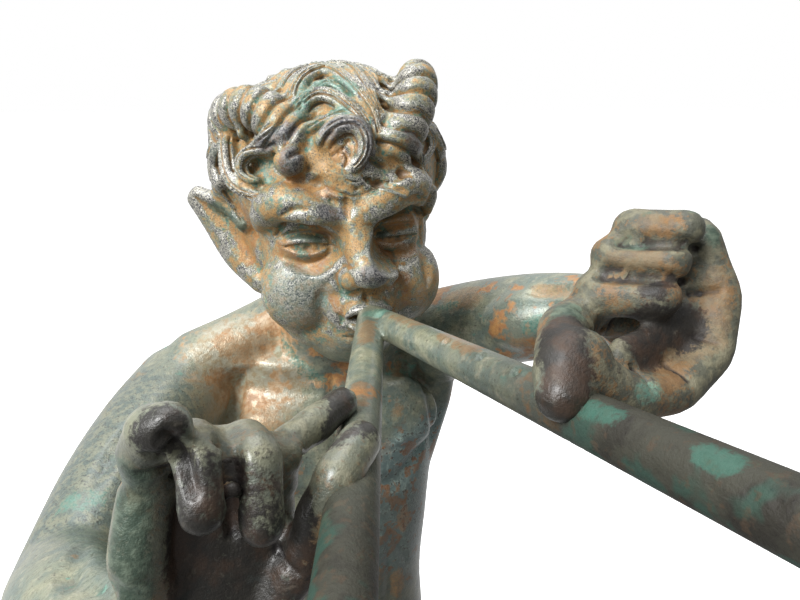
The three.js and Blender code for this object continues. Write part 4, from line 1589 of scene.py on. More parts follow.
# Where the patina's stains lie, and the painted shade on the hands and round the eyes: the middle line of
# each, and how far it reaches.
STAINS: dict[str, tuple[Stain, ...]] = {
    "green_stain": (
        (((-6, -5, 173.5), (-4.3, -6.4, 170.1), (-1.6, -7, 167.9), (1.5, -9, 165.6)), 1.6),
        (((-26.6, -26.4, 166.6), (-28.6, -26.6, 166.6), (-31, -26.4, 166)), 2.0),
        (((24.3, -20.2, 177), (25.5, -21, 178)), 2.0), (((17.2, -6.4, 176.2), (19.8, -8, 177)), 1.4),
        (((-4.8, -16.9, 188.8), (-4.3, -17, 187.8)), 1.1),
        (((5.4, -18.4, 188.3), (6.4, -18.4, 187.8)), 0.9),
        (((-1.4, -20.6, 185.5), (0, -19.6, 183.6)), 1.3), (((4, -21, 183.2), (5, -20.6, 182.4)), 0.9),
        (((-3.7, -16.4, 205), (-2.3, -13.8, 207.2), (0, -14.1, 207.6), (1.9, -16, 206.6)), 1.8),
        (((-4, -17.3, 204), (-2, -17.6, 204.6), (0.5, -18.6, 204.4)), 1.4),
        (((8.2, -56.4, 191.1), (9.4, -55, 191)), 1.6), (((10.7, -59, 187), (12, -58.6, 187)), 1.5),
    ),
    "orange_stain": (
        (((-13.5, -3.4, 173.4), (-10.2, -4, 171.3), (-6.4, -4, 175)), 3.2),
        (((-14.9, -4.9, 167.5), (-10.6, -6.1, 164.3), (-8.7, -9, 161)), 4.0),
        (((11.3, -3.9, 166.7), (9.5, -9.7, 161.7)), 1.7),
        (((-26.4, -24, 168.4), (-27.6, -25.4, 167.6)), 1.7),
        (((10.5, -9.4, 145), (10.9, -9, 142)), 2.2), (((9.6, -9, 133), (10, -9, 129)), 2.2),
        (((18.4, -7, 178.2), (21, -9, 178.4)), 3.4), (((23.9, -18.5, 173.9), (26, -20, 174.6)), 2.4),
        (((26.5, -18.4, 181.5), (28, -22, 182.5)), 2.0),
        (((20.2, -54, 192.6), (19.4, -55.3, 189.2), (16, -55.4, 187.4)), 2.0),
        (((-11.4, -56, 175.6), (-10.2, -56, 179), (-8.2, -54.4, 182)), 1.9),
        (((12.6, -51.8, 194.1), (14.6, -54, 194.6)), 1.4),
        (((14.9, -52.2, 196.8), (15.8, -53.3, 196.7)), 1.4),
        (((0.2, -19.7, 189.6), (0.2, -22, 187.4)), 0.9),
        (((-1.4, -18.8, 182.9), (-0.7, -19.7, 181.4)), 1.1),
        (((5.4, -19.2, 184), (7.4, -19.2, 185), (7.8, -19, 182.1)), 1.2),
        (((-10, -9, 192), (-10, -6.8, 186.6)), 2.6), (((-2.8, -16.9, 191.4), (-0.7, -18.2, 191)), 1.3),
        (((6.2, -18.2, 191.1), (8.4, -17, 191.4)), 1.6), (((-7, -16, 188.8), (-3, -17.5, 187.2)), 2.3),
        (((5, -18.4, 188.5), (8.4, -17, 188)), 2.2), (((-6, -18.4, 196.4), (-1.5, -20.4, 195.6)), 1.2),
        (((-1, -20, 200.4), (0.4, -20, 199)), 1.3),
    ),
    "slate_stain": (
        (((1.6, -24.8, 187.2), (2.6, -24.4, 186.2)), 2.1),
        (((-1.6, -19.4, 202), (0, -20, 203), (2.3, -20, 202.8), (3, -20.6, 201), (2.4, -20.6, 199)), 1.5),
        (((-5.6, -19.9, 199.4), (-5.8, -19.8, 198.6)), 2.2),
        (((-8.2, -16.4, 200.9), (-5.5, -18.5, 202.4)), 1.5),
        (((7.8, -20.2, 201.4), (8.6, -19.4, 200.4)), 1.6),
        (((-2.6, -20.8, 193.6), (-0.9, -21, 193.4)), 1.4),
    ),
    # Painted shade on the palms, the fingers' undersides and inside the fist, over their dark brown.
    "dark_stain": (
        (((-19.2, -57.6, 188.4), (-18.8, -58.4, 188.9)), 2.0),
        (((-18, -54.2, 180), (-18.2, -54.4, 176), (-18.6, -54.6, 170)), 3.0),
        (((-14.6, -54.2, 181), (-14.4, -54.4, 176), (-14.8, -54.6, 170)), 3.4),
        (((-11.4, -54.6, 180), (-11, -55, 172)), 2.6),
        (((-17.2, -57.4, 185.6), (-17.4, -58.6, 183)), 2.1),
        (((-14.1, -56.4, 184.4), (-14.2, -57.8, 181.2)), 2.1),
        (((-7, -46.6, 183.4), (-8.4, -49.3, 182)), 1.9), (((-10.4, -55, 178), (-9.4, -55, 180.8)), 1.6),
        (((-8.4, -53.4, 183), (-6.4, -52.4, 183.6)), 1.3),
        (((18.4, -50.8, 188), (17.6, -53.9, 189), (15, -54.6, 190), (13.4, -55, 188.6)), 3.0),
        (((7.4, -55, 190.8), (5.4, -57, 190.4), (4.6, -59.4, 188.4), (3.6, -59.4, 186.6)), 2.5),
        (((8.3, -57.7, 188.2), (8.8, -57.7, 186.6)), 1.5),
        (((14, -54.7, 192.6), (15.4, -54.6, 192)), 1.2),
    ),
    "moss_stain": (
        # The two upper lid lines are painted shade under the brows.
        (((-6.6, -16.4, 190.2), (-4.4, -17, 190.4), (-2.6, -17.6, 190)), 0.8),
        (((4.6, -18.4, 190.2), (6.6, -18, 190.2), (8.4, -17.2, 190)), 0.8),
        (((-13.4, -4.6, 192.4), (-12.2, -5.8, 191.6), (-10.8, -7.9, 190.4)), 1.7),
        (((-21.2, -55.5, 185), (-21.8, -56.2, 178.7), (-21.8, -56, 170)), 2.4),
        (((15, -51.6, 194), (18.4, -53.4, 194.4)), 2.0), (((18, -53, 197), (21, -53, 196)), 1.8),
        (((22.6, -52.5, 190), (21, -55, 187)), 2.2), (((6.8, -54.4, 190.9), (9, -52.4, 190.8)), 1.8),
        (((-30, -32, 163), (-27, -38, 165), (-23, -46, 168)), 5.0),
    ),
}
PIPE_STAINS: dict[str, tuple[Stain, ...]] = {
    "green_stain": (
        (((1.4, -24, 182.8), (2.6, -25.4, 183.2), (3.6, -25, 183.2)), 1.5),
        (((5.0, -60.4, 187.8), (5.6, -62.4, 188.2)), 1.4),
        (((6.4, -68.6, 188.8), (6.6, -69.8, 188.9)), 1.2),
    ),
    "orange_stain": (
        (((3.4, -29, 183.4), (4, -34, 184)), 1.5), (((4.4, -40, 185), (4.8, -45, 185.6)), 1.7),
        (((5.6, -54, 186.8), (5.8, -56, 187)), 1.3), (((0.6, -27, 182.4), (-1, -32, 182.3)), 1.5),
        (((-4.2, -42, 182.2), (-5, -45, 182.2)), 1.4),
    ),
}


@dataclass
class SatyrFigure:
    """The whole bronze figure, from its hooves to its horns, as one cast.

    Attributes:
        voxel: The size of the skin's faces before the detailed regions are refined.
        triangles: The most triangles that the finished piece has.
        hands_front: Past this the hands lie, towards the front.
        tail: The stations of the short tail.
    """

    voxel: float = 0.4
    triangles: int = 190000
    hands_front: float = -44.0
    torso: Torso = field(default_factory=Torso)
    arms: Arms = field(default_factory=Arms)
    hands: Hands = field(default_factory=Hands)
    fleece: Fleece = field(default_factory=Fleece)
    skull: Skull = field(default_factory=Skull)
    face: Face = field(default_factory=Face)
    ears: Ears = field(default_factory=Ears)
    hair: Hair = field(default_factory=Hair)
    tail: Points = ((2, 8, 108.6, 2.6), (2, 13.2, 112.3, 2.2), (2, 16, 116.5, 1.8), (2, 16.4, 120.6, 1))

    def build(self) -> Piece:
        """Models the figure.

        Returns:
            The finished piece, in metres.
        """
        clay = Clay()
        self.torso.press(clay)
        self.arms.press(clay)
        self.hands.press(clay)
        self.fleece.press(clay)
        clay.bar(self.tail)
        self.skull.press(clay)
        self.ears.press(clay)
        for horn in HORNS:
            horn.press(clay)
        self.hair.press(clay)
        piece = clay.skin("bronze_satyr", self.voxel, 3)
        log.info("figure fused: %d points", len(piece.data.vertices))
        skin = Skin(piece)
        self.carve(skin)
        self.fleece.comb(skin)
        skin.mark(0.9, STAINS)
        self.thin(piece)
        return piece

    def detailed(self, points: Array) -> Array:
        """Whether points lie on the head or the hands."""
        head = points[:, 2] > 173
        return head | ((points[:, 1] < self.hands_front) & (points[:, 2] > 168))

    def plain(self, points: Array) -> Array:
        """Whether points lie on the body."""
        return ~self.detailed(points)

    def front(self, points: Array) -> Array:
        """Whether points lie on the face or on the hair round it."""
        x, y, z = HEAD.into(points).T
        return (np.abs(x) < 13.5) & (y < 1) & (y > -18) & (z > -15)

    def carve(self, skin: Skin) -> None:
        """Works the muscles, hands, hair and face into the skin.

        Args:
            skin: The skin.
        """
        skin.relax(self.plain, 8)
        skin.refine(self.detailed)
        skin.relax(self.detailed, 1)
        skin.refine(self.front)
        skin.relax(self.front, 2)
        self.torso.carve(skin)
        self.arms.carve(skin)
        self.hands.carve(skin)
        for horn in HORNS:
            horn.carve(skin)
        self.ears.carve(skin)
        self.hair.comb(skin)
        self.face.carve(skin)

    def thin(self, piece: Piece) -> None:
        """Takes out faces where the skin is plain, and turns it into metres.

        Args:
            piece: The piece.
        """
        piece.data.transform(Matrix.Scale(1 / METRE, 4))
        count = sum(len(p.vertices) - 2 for p in piece.data.polygons)
        fewer = piece.modifiers.new("thin", "DECIMATE")
        fewer.ratio = min(1.0, self.triangles / count)
        settle(piece)
        smooth(piece.data)


# The pipes and the plinth


@dataclass
class DoublePipe:
    """Two plain tapering tubes that meet at the mouth.

    Attributes:
        length: The length of each tube.
        bell: The radius of the rounded lip at its far end.
        bore: The depth of the hole in that end.
        holes: How far the finger holes of each tube lie from the mouth.
        pits: How many casting pits each tube has.
    """

    length: float = 64.0
    bell: float = 2.62
    bore: float = 12.0
    holes: Sequence[Numbers] = ((), (21, 27, 32))
    pits: int = 26

    def tube(self, aim: Array) -> Lump:
        """One tube with its lip and bore, turned from its outline.

        Args:
            aim: Where it points.

        Returns:
            A new bmesh.
        """
        end, floor = self.length, self.length - self.bore
        outline = [
            (0, -0.6), (1.1, -0.6), (1.55, 0), (1.6, 1), (1.8, end / 2), (1.98, end - 2.6),
            (2.1, end - 1.9), (self.bell, end - 1.3), (self.bell, end - 0.5), (2.3, end),
            (1.9, end - 0.1), (1.75, end - 0.6), (1.4, floor), (0, floor - 0.8),
        ]
        body = turned(outline, 40, 0.001)
        way = Vector(aim - MOUTH).normalized()
        place = Matrix.Translation(MOUTH) @ way.to_track_quat("Z", "Y").to_matrix().to_4x4()
        bmesh.ops.transform(body, matrix=place, verts=body.verts)
        return body

    def build(self) -> Piece:
        """Models the pipes.

        Returns:
            The finished piece, in metres.
        """
        clay = Clay()
        for aim in PIPE_AIMS:
            clay.press(self.tube(aim))
        piece = clay.skin("double_pipe_tubes", 0.24, 8)
        skin = Skin(piece)
        self.bore_holes(skin)
        skin.mark(0.6, PIPE_STAINS)
        piece.data.transform(Matrix.Scale(1 / METRE, 4))
        smooth(piece.data)
        return piece

    def bore_holes(self, skin: Skin) -> None:
        """Presses finger holes with raised rims along the tubes, casting pits and the fork's dip.

        Args:
            skin: The skin.
        """
        golden, golden_turn, wander = 0.618, 2.4, 0.37  # these scatter the pits evenly
        start = 6  # where rays start, off the tube's middle line
        for aim, places in zip(PIPE_AIMS, self.holes):
            way = unit(aim - MOUTH)
            side = unit(np.cross(way, (0, 0, 1)))
            above = np.cross(side, way)

            def surface(far: float, out: Array) -> Array:
                """The tube's skin at this distance from the mouth and in this direction."""
                return skin.cast((MOUTH + way * far + out * start)[None], -out[None])[0]

            for far in places:
                spot = surface(far, unit(above + side * 0.6))
                skin.dab(spot, 1.0, 0.22, 1.4)
                skin.dab(spot, 0.52, -0.75, 1.2)
            for k in range(self.pits):
                far = 4 + 57 * ((k * golden) % 1)
                turn = k * golden_turn
                spot = surface(far, above * math.cos(turn) + side * math.sin(turn))
                skin.dab(spot, 0.35 + 0.25 * ((k * wander) % 1), -0.12)
        fork = unit(sum(unit(aim - MOUTH) for aim in PIPE_AIMS))
        spot = skin.cast((MOUTH + fork * 5 + np.array([0, 0, 8]))[None], np.array([[0, 0, -1.0]]))[0]
        skin.dab(spot, 1.1, -0.5)


@dataclass
class Plinth:
    """A low round base with a turned edge, under both hooves.

    Attributes:
        outline: Its (radius, height) outline, from the bottom's middle to the top's.
        flat: Faces that look this far up or down are flat, and the others are shaded smooth.
    """

    outline: Points = (
        (0, 0), (36.4, 0), (37, 0.6), (37, 2.2), (36.4, 2.8), (34.6, 3.6), (33.8, 4.8), (33.6, 6.4),
        (33.9, 8.0), (34.7, 9.2), (34.9, 10.4), (34.6, 11.6), (34.1, 12), (0, 12),
    )
    flat: float = 0.98

    def build(self) -> Piece:
        """Turns the plinth.

        Returns:
            The finished piece, in metres.
        """
        body = turned([(radius / METRE, height / METRE) for radius, height in self.outline], 128, 0.00001)
        piece = show("turned_plinth", body)
        for poly in piece.data.polygons:
            poly.use_smooth = abs(poly.normal.z) < self.flat
        return piece


# Finishes


class Wire:
    """A shader socket on which numbers can be worked out."""

    def __init__(self, tree: bpy.types.NodeTree, socket: bpy.types.NodeSocket) -> None:
        """Wraps a socket of a tree."""
        self.tree = tree
        self.socket = socket

    def math(self, operation: str, *values: Any) -> "Wire":
        """A Math node of the given operation."""
        return node(self.tree, "ShaderNodeMath", {"operation": operation}, *values)

    def __add__(self, other: Any) -> "Wire":
        """This plus the other."""
        return self.math("ADD", self, other)

    def __radd__(self, other: Any) -> "Wire":
        """The other plus this."""
        return self.math("ADD", other, self)

    def __sub__(self, other: Any) -> "Wire":
        """This minus the other."""
        return self.math("SUBTRACT", self, other)

    def __rsub__(self, other: Any) -> "Wire":
        """The other minus this."""
        return self.math("SUBTRACT", other, self)

    def __mul__(self, other: Any) -> "Wire":
        """This times the other."""
        return self.math("MULTIPLY", self, other)

    def __rmul__(self, other: Any) -> "Wire":
        """The other times this."""
        return self.math("MULTIPLY", other, self)

    def output(self, name: str) -> "Wire":
        """Another output of this socket's node."""
        return Wire(self.tree, self.socket.node.outputs[name])

    def step(self, low: float, high: float) -> "Wire":
        """A soft step from 0 at low to 1 at high, or the other way round where high is lower."""
        settings = {"interpolation_type": "SMOOTHSTEP"}
        return node(self.tree, "ShaderNodeMapRange", settings, self, low, high, 0.0, 1.0)


def node(tree: bpy.types.NodeTree, kind: str, settings: dict[str, Any], *values: Any) -> Wire:
    """Adds a node.

    Args:
        tree: The tree that it is added to.
        kind: Its type.
        settings: What is set on the node first.
        values: Links or values for its sockets in their order, or pairs of a socket's name
            or number and its link or value.

    Returns:
        Its first enabled output, where it has one.
    """
    made = tree.nodes.new(kind)
    for name, value in settings.items():
        setattr(made, name, value)
    for place, value in enumerate(values):
        named = isinstance(value, tuple) and len(value) == 2 and isinstance(value[0], (str, int))
        key, value = value if named else (place, value)
        socket = made.inputs[key]
        if isinstance(value, Wire):
            tree.links.new(value.socket, socket)
        else:
            socket.default_value = value
    outputs = [o for o in made.outputs if o.enabled]
    return Wire(tree, outputs[0] if outputs else None)


def tint(red: int, green: int, blue: int) -> tuple[float, float, float, float]:
    """A colour as the eye names it, in the renderer's own numbers.

    Args:
        red: Its red, from 0 to 255.
        green: Its green.
        blue: Its blue.

    Returns:
        Red, green, blue and an alpha of 1.
    """
    channels = [c / 255 for c in (red, green, blue)]
    lit = [c / 12.92 if c <= 0.04045 else ((c + 0.055) / 1.055) ** 2.4 for c in channels]
    return (*lit, 1.0)


class Canvas:
    """A material in the making, with the noises and masks that a patina is painted from.

    Attributes:
        large, middle, small, speck, grit, dust: Noises from 0 to 1, from broad to fine.
        salt: A fine pepper and salt mask.
        hollow, valley: How deep a place lies in a fine and in a broad hollow.
        colour, metallic, rough, coat: What is painted so far.
    """

    colour: Wire
    metallic: Wire
    rough: Wire
    coat: Wire

    def __init__(self, name: str) -> None:
        """Starts a material of this name.

        Args:
            name: The material's name.
        """
        self.material = bpy.data.materials.new(name)
        self.material.use_nodes = True
        self.tree = self.material.node_tree
        place = self.add("ShaderNodeTexCoord", {}).output("Object")
        self.mm = self.add("ShaderNodeVectorMath", {"operation": "MULTIPLY"}, place, (METRE,) * 3)
        self.large = self.cloud(0.09, 4)
        self.middle = self.cloud(0.3, 5, 31)
        self.small = self.cloud(1.1, 4, 57)
        self.speck = self.cloud(2.6, 3, 11, 0.7)
        self.grit = self.cloud(5.5, 2, 77, 0.6)
        # The finest noise is used only for painted glints: tiny highlights on metal and soil.
        self.glint_noise = self.cloud(9, 1, 5, 0.5)
        self.salt = (self.grit * 0.5 + self.speck * 0.5).step(0.44, 0.58)
        self.hollow, self.valley = self.attribute("fine_hollow"), self.attribute("broad_hollow")

    def add(self, kind: str, settings: dict[str, Any], *values: Any) -> Wire:
        """Adds a node, as the function node does."""
        return node(self.tree, kind, settings, *values)

    def cloud(self, scale: float, detail: float, shift: float = 0.0, rough: float = 0.55) -> Wire:
        """Noise from 0 to 1.

        Args:
            scale: Its blots to a millimetre.
            detail: How many finer noises it holds.
            shift: How far it is moved, so that no two are alike.
            rough: How strong the finer ones are.

        Returns:
            The noise.
        """
        moved = self.add("ShaderNodeVectorMath", {"operation": "ADD"}, self.mm, (shift,) * 3)
        sockets = (("Vector", moved), ("Scale", scale), ("Detail", detail), ("Roughness", rough))
        return self.add("ShaderNodeTexNoise", {"noise_dimensions": "3D"}, *sockets)

    def apart(self, centre: Numbers) -> Wire:
        """The distance from a point, in millimetres."""
        settings = {"operation": "DISTANCE"}
        return self.add("ShaderNodeVectorMath", settings, self.mm, tuple(centre)).output("Value")

    def near(self, centre: Numbers, inner: float, outer: float) -> Wire:
        """1 within the inner distance of a point and 0 past the outer one."""
        return self.apart(centre).step(outer, inner)

    def attribute(self, name: str) -> Wire:
        """One of the numbers that were recorded on the mesh."""
        return self.add("ShaderNodeAttribute", {"attribute_name": name}).output("Fac")

    def mix(self, share: Any, low: Any, high: Any) -> Wire:
        """Two colours mixed.

        Args:
            share: How much of the second, from 0 to 1.
            low: The first: a shade, or a link.
            high: The second.

        Returns:
            The mixed colour.
        """
        low, high = (tint(*c) if isinstance(c, tuple) else c for c in (low, high))
        settings = {"data_type": "RGBA", "clamp_factor": True}
        mixed = self.add("ShaderNodeMix", settings, (0, share), (6, low), (7, high))
        return Wire(self.tree, mixed.socket.node.outputs[2])

    def paint(self, share: Any, colour: Any) -> None:
        """Lays a colour over what is painted so far."""
        self.colour = self.mix(share, self.colour, colour)

    def finish(self, piece: Piece, relief: Wire, gloss: float) -> None:
        """Joins everything to the shader and gives the material to a piece.

        Args:
            piece: The piece.
            relief: The fine relief, in millimetres.
            gloss: The strength of the shine under the coat.
        """
        shader = self.tree.nodes["Principled BSDF"]
        sockets = (("Strength", 1.0), ("Distance", 1 / METRE), ("Height", relief))
        changing = {
            "Base Color": self.colour,
            "Metallic": self.metallic,
            "Roughness": self.rough,
            "Coat Weight": self.coat,
            "Normal": self.add("ShaderNodeBump", {}, *sockets),
        }
        for name, value in changing.items():
            self.tree.links.new(value.socket, shader.inputs[name])
        shader.inputs["Specular IOR Level"].default_value = gloss
        shader.inputs["Coat Roughness"].default_value = 0.22
        shader.inputs["Coat IOR"].default_value = 1.5
        piece.data.materials.clear()
        piece.data.materials.append(self.material)


@dataclass(frozen=True)
class BronzePatina:
    """An old bronze: dull grey metal where it is rubbed, ochre and verdigris in its hollows.

    Attributes:
        name: The material's name.
        metal: The rubbed metal.
        skin: The smooth patina on the body.
        shade: Its darker clouds.
        pale: Its paler clouds.
        ochre: The earthy orange of hollows and patches.
        verdigris: The green of the deepest hollows and of scattered patches.
        soot: The near black of specks and palms.
        grain: How strongly the surface is pitted, in millimetres.
        gloss: The strength of the shine under the coat, from 0 to 1.
        orange_share: How much of it is orange, from 0 to 1.
        green_share: How much of it is green, from 0 to 1.
    """

    name: str
    metal: Shade = (172, 170, 158)
    skin: Shade = (130, 132, 110)
    shade: Shade = (92, 106, 98)
    pale: Shade = (168, 164, 142)
    ochre: Shade = (176, 128, 70)
    verdigris: Shade = (106, 150, 134)
    soot: Shade = (44, 40, 40)
    grain: float = 0.042
    orange_share: float = 0.5
    green_share: float = 0.5
    gloss: float = 0.5

    def dress(self, piece: Piece) -> None:
        """Gives the piece this finish.

        Args:
            piece: The piece.
        """
        c = Canvas(self.name)
        self.ground(c)
        self.detail(c)
        relief = c.grit * self.grain + c.speck * (self.grain * 1.4) + c.small * (self.grain * 1.6)
        c.finish(piece, relief, self.gloss)

    def detail(self, c: Canvas) -> None:
        """Paints what one piece has on top. The plain patina has nothing."""

    def orange(self, c: Canvas) -> Wire:
        """The mottled ochre."""
        return c.mix(c.small.step(0.3, 0.7), self.ochre, (140, 94, 54))

    def green(self, c: Canvas) -> Wire:
        """The mottled verdigris."""
        return c.mix((c.speck * 0.5 + c.small * 0.5).step(0.35, 0.6), self.verdigris, (70, 108, 96))

    def ground(self, c: Canvas) -> None:
        """Paints the even skin with its orange patches, green flecks, dirty creases and specks.

        Args:
            c: The canvas.
        """
        c.colour = c.mix(c.middle.step(0.35, 0.65), self.skin, self.shade)
        c.paint(c.small.step(0.5, 0.72) * 0.4, self.pale)
        c.paint(c.speck.step(0.45, 0.6) * 0.3, (84, 84, 68))
        c.paint(c.large.step(0.5, 0.62) * 0.5, (84, 94, 88))
        start = 0.62 - 0.12 * self.orange_share
        patches = c.large * 0.5 + c.middle * 0.35 + c.small * 0.15 + c.valley * 0.08
        patches = patches.step(start, start + 0.045)
        c.paint(patches * 0.85, self.orange(c))
        start = 0.66 - 0.1 * self.green_share
        flecks = c.cloud(0.16, 3, 91) * 0.45 + c.cloud(0.7, 4, 43) * 0.55
        flecks = (flecks + c.hollow * 0.05 + c.valley * 0.1).step(start, start + 0.04)
        c.paint(flecks * 0.85, self.green(c))
        crease = (c.valley * 0.6 + c.hollow * 0.25 + c.middle * 0.5).step(0.55, 0.95)
        c.paint(crease * 0.6, c.mix(c.large.step(0.4, 0.6), (92, 66, 40), (60, 92, 84)))
        c.paint((c.speck * 0.6 + c.grit * 0.4).step(0.58, 0.66) * 0.8, self.soot)
        c.metallic = 0.2 - 0.1 * flecks - 0.1 * patches
        c.rough = 0.36 + 0.16 * patches + 0.16 * flecks + 0.3 * (c.small - 0.5)
        c.coat = 0.45 - 0.25 * flecks - 0.25 * patches


@dataclass(frozen=True)
class FigurePatina(BronzePatina):
    """The patina of the figure, with its own colours on head, chest, arms and hands, and painted
    highlights and shade laid over some of them.

    Attributes:
        head: The head's middle, and between which distances from it the head's patina ends.
        fist: The same for the left hand.
        open_hand: The same for the right hand.
    """

    head: tuple[Place, float, float] = ((2, -8, 195), 18.5, 23)
    fist: tuple[Place, float, float] = ((14, -53, 191), 9.5, 14)
    open_hand: tuple[Place, float, float] = ((-16, -54, 178), 9, 15)

    def detail(self, c: Canvas) -> None:
        """Paints the parts of the figure one after the other, and the stains over them.

        Args:
            c: The canvas.
        """
        self.paint_head(c)
        self.paint_trunk(c)
        self.paint_hands(c)
        self.paint_stains(c)

    def paint_head(self, c: Canvas) -> None:
        """Paints grey metal on the head's ridges, olive lower down and orange soil in its hollows, then
        painted glints, painted highlights on the cheeks and painted shade in the fine grooves.

        Args:
            c: The canvas.
        """
        head, face = c.near(*self.head), c.near((3, -21, 186), 9, 13)
        sunk = c.valley * 1.1 + c.hollow * 0.4 + (c.middle - 0.5) * 1.3
        sunk = (sunk + (c.small - 0.5) * 1.0 + (c.speck - 0.5) * 0.5).step(-0.36, 0.3)
        metal = c.mix(c.salt, (66, 68, 72), self.metal)
        metal = c.mix((1 - face) * 0.6, metal, c.mix(c.salt, (50, 50, 55), (140, 138, 126)))
        # Painted glints: tiny white highlights on the metal.
        metal = c.mix(c.glint_noise.step(0.54, 0.63) * 0.6, metal, (226, 222, 210))
        metal = c.mix(c.middle.step(0.44, 0.58) * 0.4, metal, (104, 116, 104))
        olive = c.mix(c.speck.step(0.4, 0.6), (152, 146, 112), (88, 98, 84))
        soil = c.mix(c.middle.step(0.42, 0.58), (142, 98, 46), (164, 124, 72))
        soil = c.mix((c.speck * 0.5 + c.grit * 0.5).step(0.44, 0.56) * 0.55, soil, (124, 116, 88))
        # Painted glints: pale golden highlights in the soil.
        soil = c.mix(c.glint_noise.step(0.55, 0.64) * 0.35, soil, (206, 176, 128))
        soil = c.mix(c.grit.step(0.56, 0.64) * 0.7, soil, (84, 62, 40))
        damp = (c.cloud(0.2, 3, 19) * 0.4 + c.cloud(0.9, 4, 63) * 0.6 + c.valley * 0.1).step(0.53, 0.59)
        soil = c.mix(damp * (0.4 + 0.6 * c.speck.step(0.4, 0.55)), soil, self.green(c))
        crown = c.mix(sunk.step(0.15, 0.42) * 0.85, metal, olive)
        crown = c.mix(sunk.step(0.38, 0.72) * 0.92, crown, soil)
        # Painted highlight on both cheeks: a lighter grey laid over their greyer tone.
        cheek_highlight_and_grey = c.near((-5.2, -17.8, 183.4), 1.5, 8) * 0.9 + c.near((9, -17, 182), 2, 7) * 0.6
        grey = c.mix(c.salt * 0.8, (92, 104, 100), (178, 178, 168))
        crown = c.mix((cheek_highlight_and_grey + (c.small - 0.5) * 1.6).step(0.3, 0.9) * 0.62, crown, grey)
        # Painted shade in the fine grooves between strands and folds, in the brown and green-grey of the
        # patina.
        groove_shade_and_patina = c.mix(c.middle.step(0.45, 0.6), (110, 86, 60), (84, 98, 88))
        crown = c.mix(c.hollow.step(0.1, 0.65) * 0.85, crown, groove_shade_and_patina)
        crown = c.mix((c.speck * 0.45 + c.grit * 0.55).step(0.59, 0.65) * 0.65, crown, (60, 56, 54))
        c.paint(head, crown)
        c.metallic = c.metallic + head * (0.05 + 0.3 * (1 - sunk) - c.metallic)
        c.rough = c.rough + head * (0.56 - 0.12 * (1 - sunk) + 0.4 * (c.grit - 0.5) - c.rough)
        c.coat = c.coat * (1 - 0.6 * head)

    def paint_trunk(self, c: Canvas) -> None:
        """Paints a golden patch with painted sheen on the chest and shoulder, painted shade over a darker
        green on the upper arm, teal on the flank, and dull legs that are partly painted shade.

        Args:
            c: The canvas.
        """
        # Painted sheen on the shoulder and chest, mixed with their golden ochre.
        sheen_and_gold_patch = c.near((-11, -4, 168), 5, 14) + (c.middle - 0.5) * 1.6 + (c.small - 0.5) * 0.8
        gold_and_sheen = c.mix(c.small.step(0.4, 0.62), (178, 168, 146), (154, 130, 94))
        c.paint(sheen_and_gold_patch.step(0.4, 0.8) * 0.55, gold_and_sheen)
        # Painted shade on the upper arm, over its darker teal-olive tone and dark specks.
        worn = c.mix(c.small.step(0.4, 0.6), (78, 90, 84), (108, 112, 96))
        worn = c.mix((c.speck * 0.5 + c.grit * 0.5).step(0.52, 0.6) * 0.8, worn, (48, 50, 48))
        c.paint(c.near((-34, -16, 160), 14, 27) * (0.6 + 0.6 * c.middle), worn)
        teal = c.mix(c.small.step(0.42, 0.66), (100, 121, 121), (144, 165, 160))
        teal = c.mix((c.speck * 0.5 + c.small * 0.5).step(0.53, 0.59), teal, (52, 56, 60))
        teal = c.mix((c.small * 0.3 + c.middle * 0.7).step(0.53, 0.57) * 0.8, teal, (134, 88, 50))
        flank = c.near((16, -10, 146), 9, 22) * (0.7 + 0.6 * c.middle)
        c.paint(flank.step(0.45, 0.8) * 0.8, teal)
        # Darker belly, hips and legs: partly painted shade, partly their duller olive tone.
        c.paint(c.near((5, 0, 100), 46, 56) * 0.5, (70, 70, 60))

    def paint_hands(self, c: Canvas) -> None:
        """Paints the dull brown and grey of both hands, darkened as painted shade, with painted shade in
        their hollows, and takes off their shine.

        Args:
            c: The canvas.
        """
        fist, open_hand = c.near(*self.fist), c.near(*self.open_hand)
        # Painted shade over both hands, in their own mottled brown and grey.
        hand_shade_and_tone = c.mix(c.small.step(0.4, 0.6), (56, 54, 46), (98, 92, 72))
        hand_shade_and_tone = c.mix((c.middle * 0.6 + c.speck * 0.4).step(0.5, 0.58) * 0.7, hand_shade_and_tone, (124, 88, 46))
        c.paint((fist * 0.8 + open_hand * 0.5) * (0.6 + 0.8 * c.middle), hand_shade_and_tone)
        # Painted shade in the hollows of both hands.
        c.paint(c.hollow.step(0.2, 0.8) * (fist + open_hand), (40, 34, 28))
        c.coat = c.coat * (1 - 0.85 * fist)
        c.rough = c.rough + 0.3 * fist + 0.12 * open_hand
        c.metallic = c.metallic * (1 - 0.7 * fist)

    def paint_stains(self, c: Canvas) -> None:
        """Paints the stains that were recorded on the mesh, with frayed edges; the near black and dark
        green ones also hold painted shade on the hands and along the upper lids.

        Args:
            c: The canvas.
        """
        head, fist = c.near(*self.head), c.near(*self.fist)
        frayed = 1.3 * (c.small - 0.5) + 1.2 * (c.speck - 0.5)
        rust = (c.attribute("orange_stain") + frayed).step(0.4, 0.85)
        earth = c.mix(fist, self.orange(c), (116, 88, 56))
        c.paint(rust * (0.5 + 0.2 * head), c.mix(c.speck.step(0.4, 0.6) * 0.5, earth, c.colour))
        copper = (c.attribute("green_stain") + frayed).step(0.45, 0.95)
        c.paint(copper * (0.45 + 0.55 * c.speck.step(0.44, 0.56)) * 0.8, self.green(c))
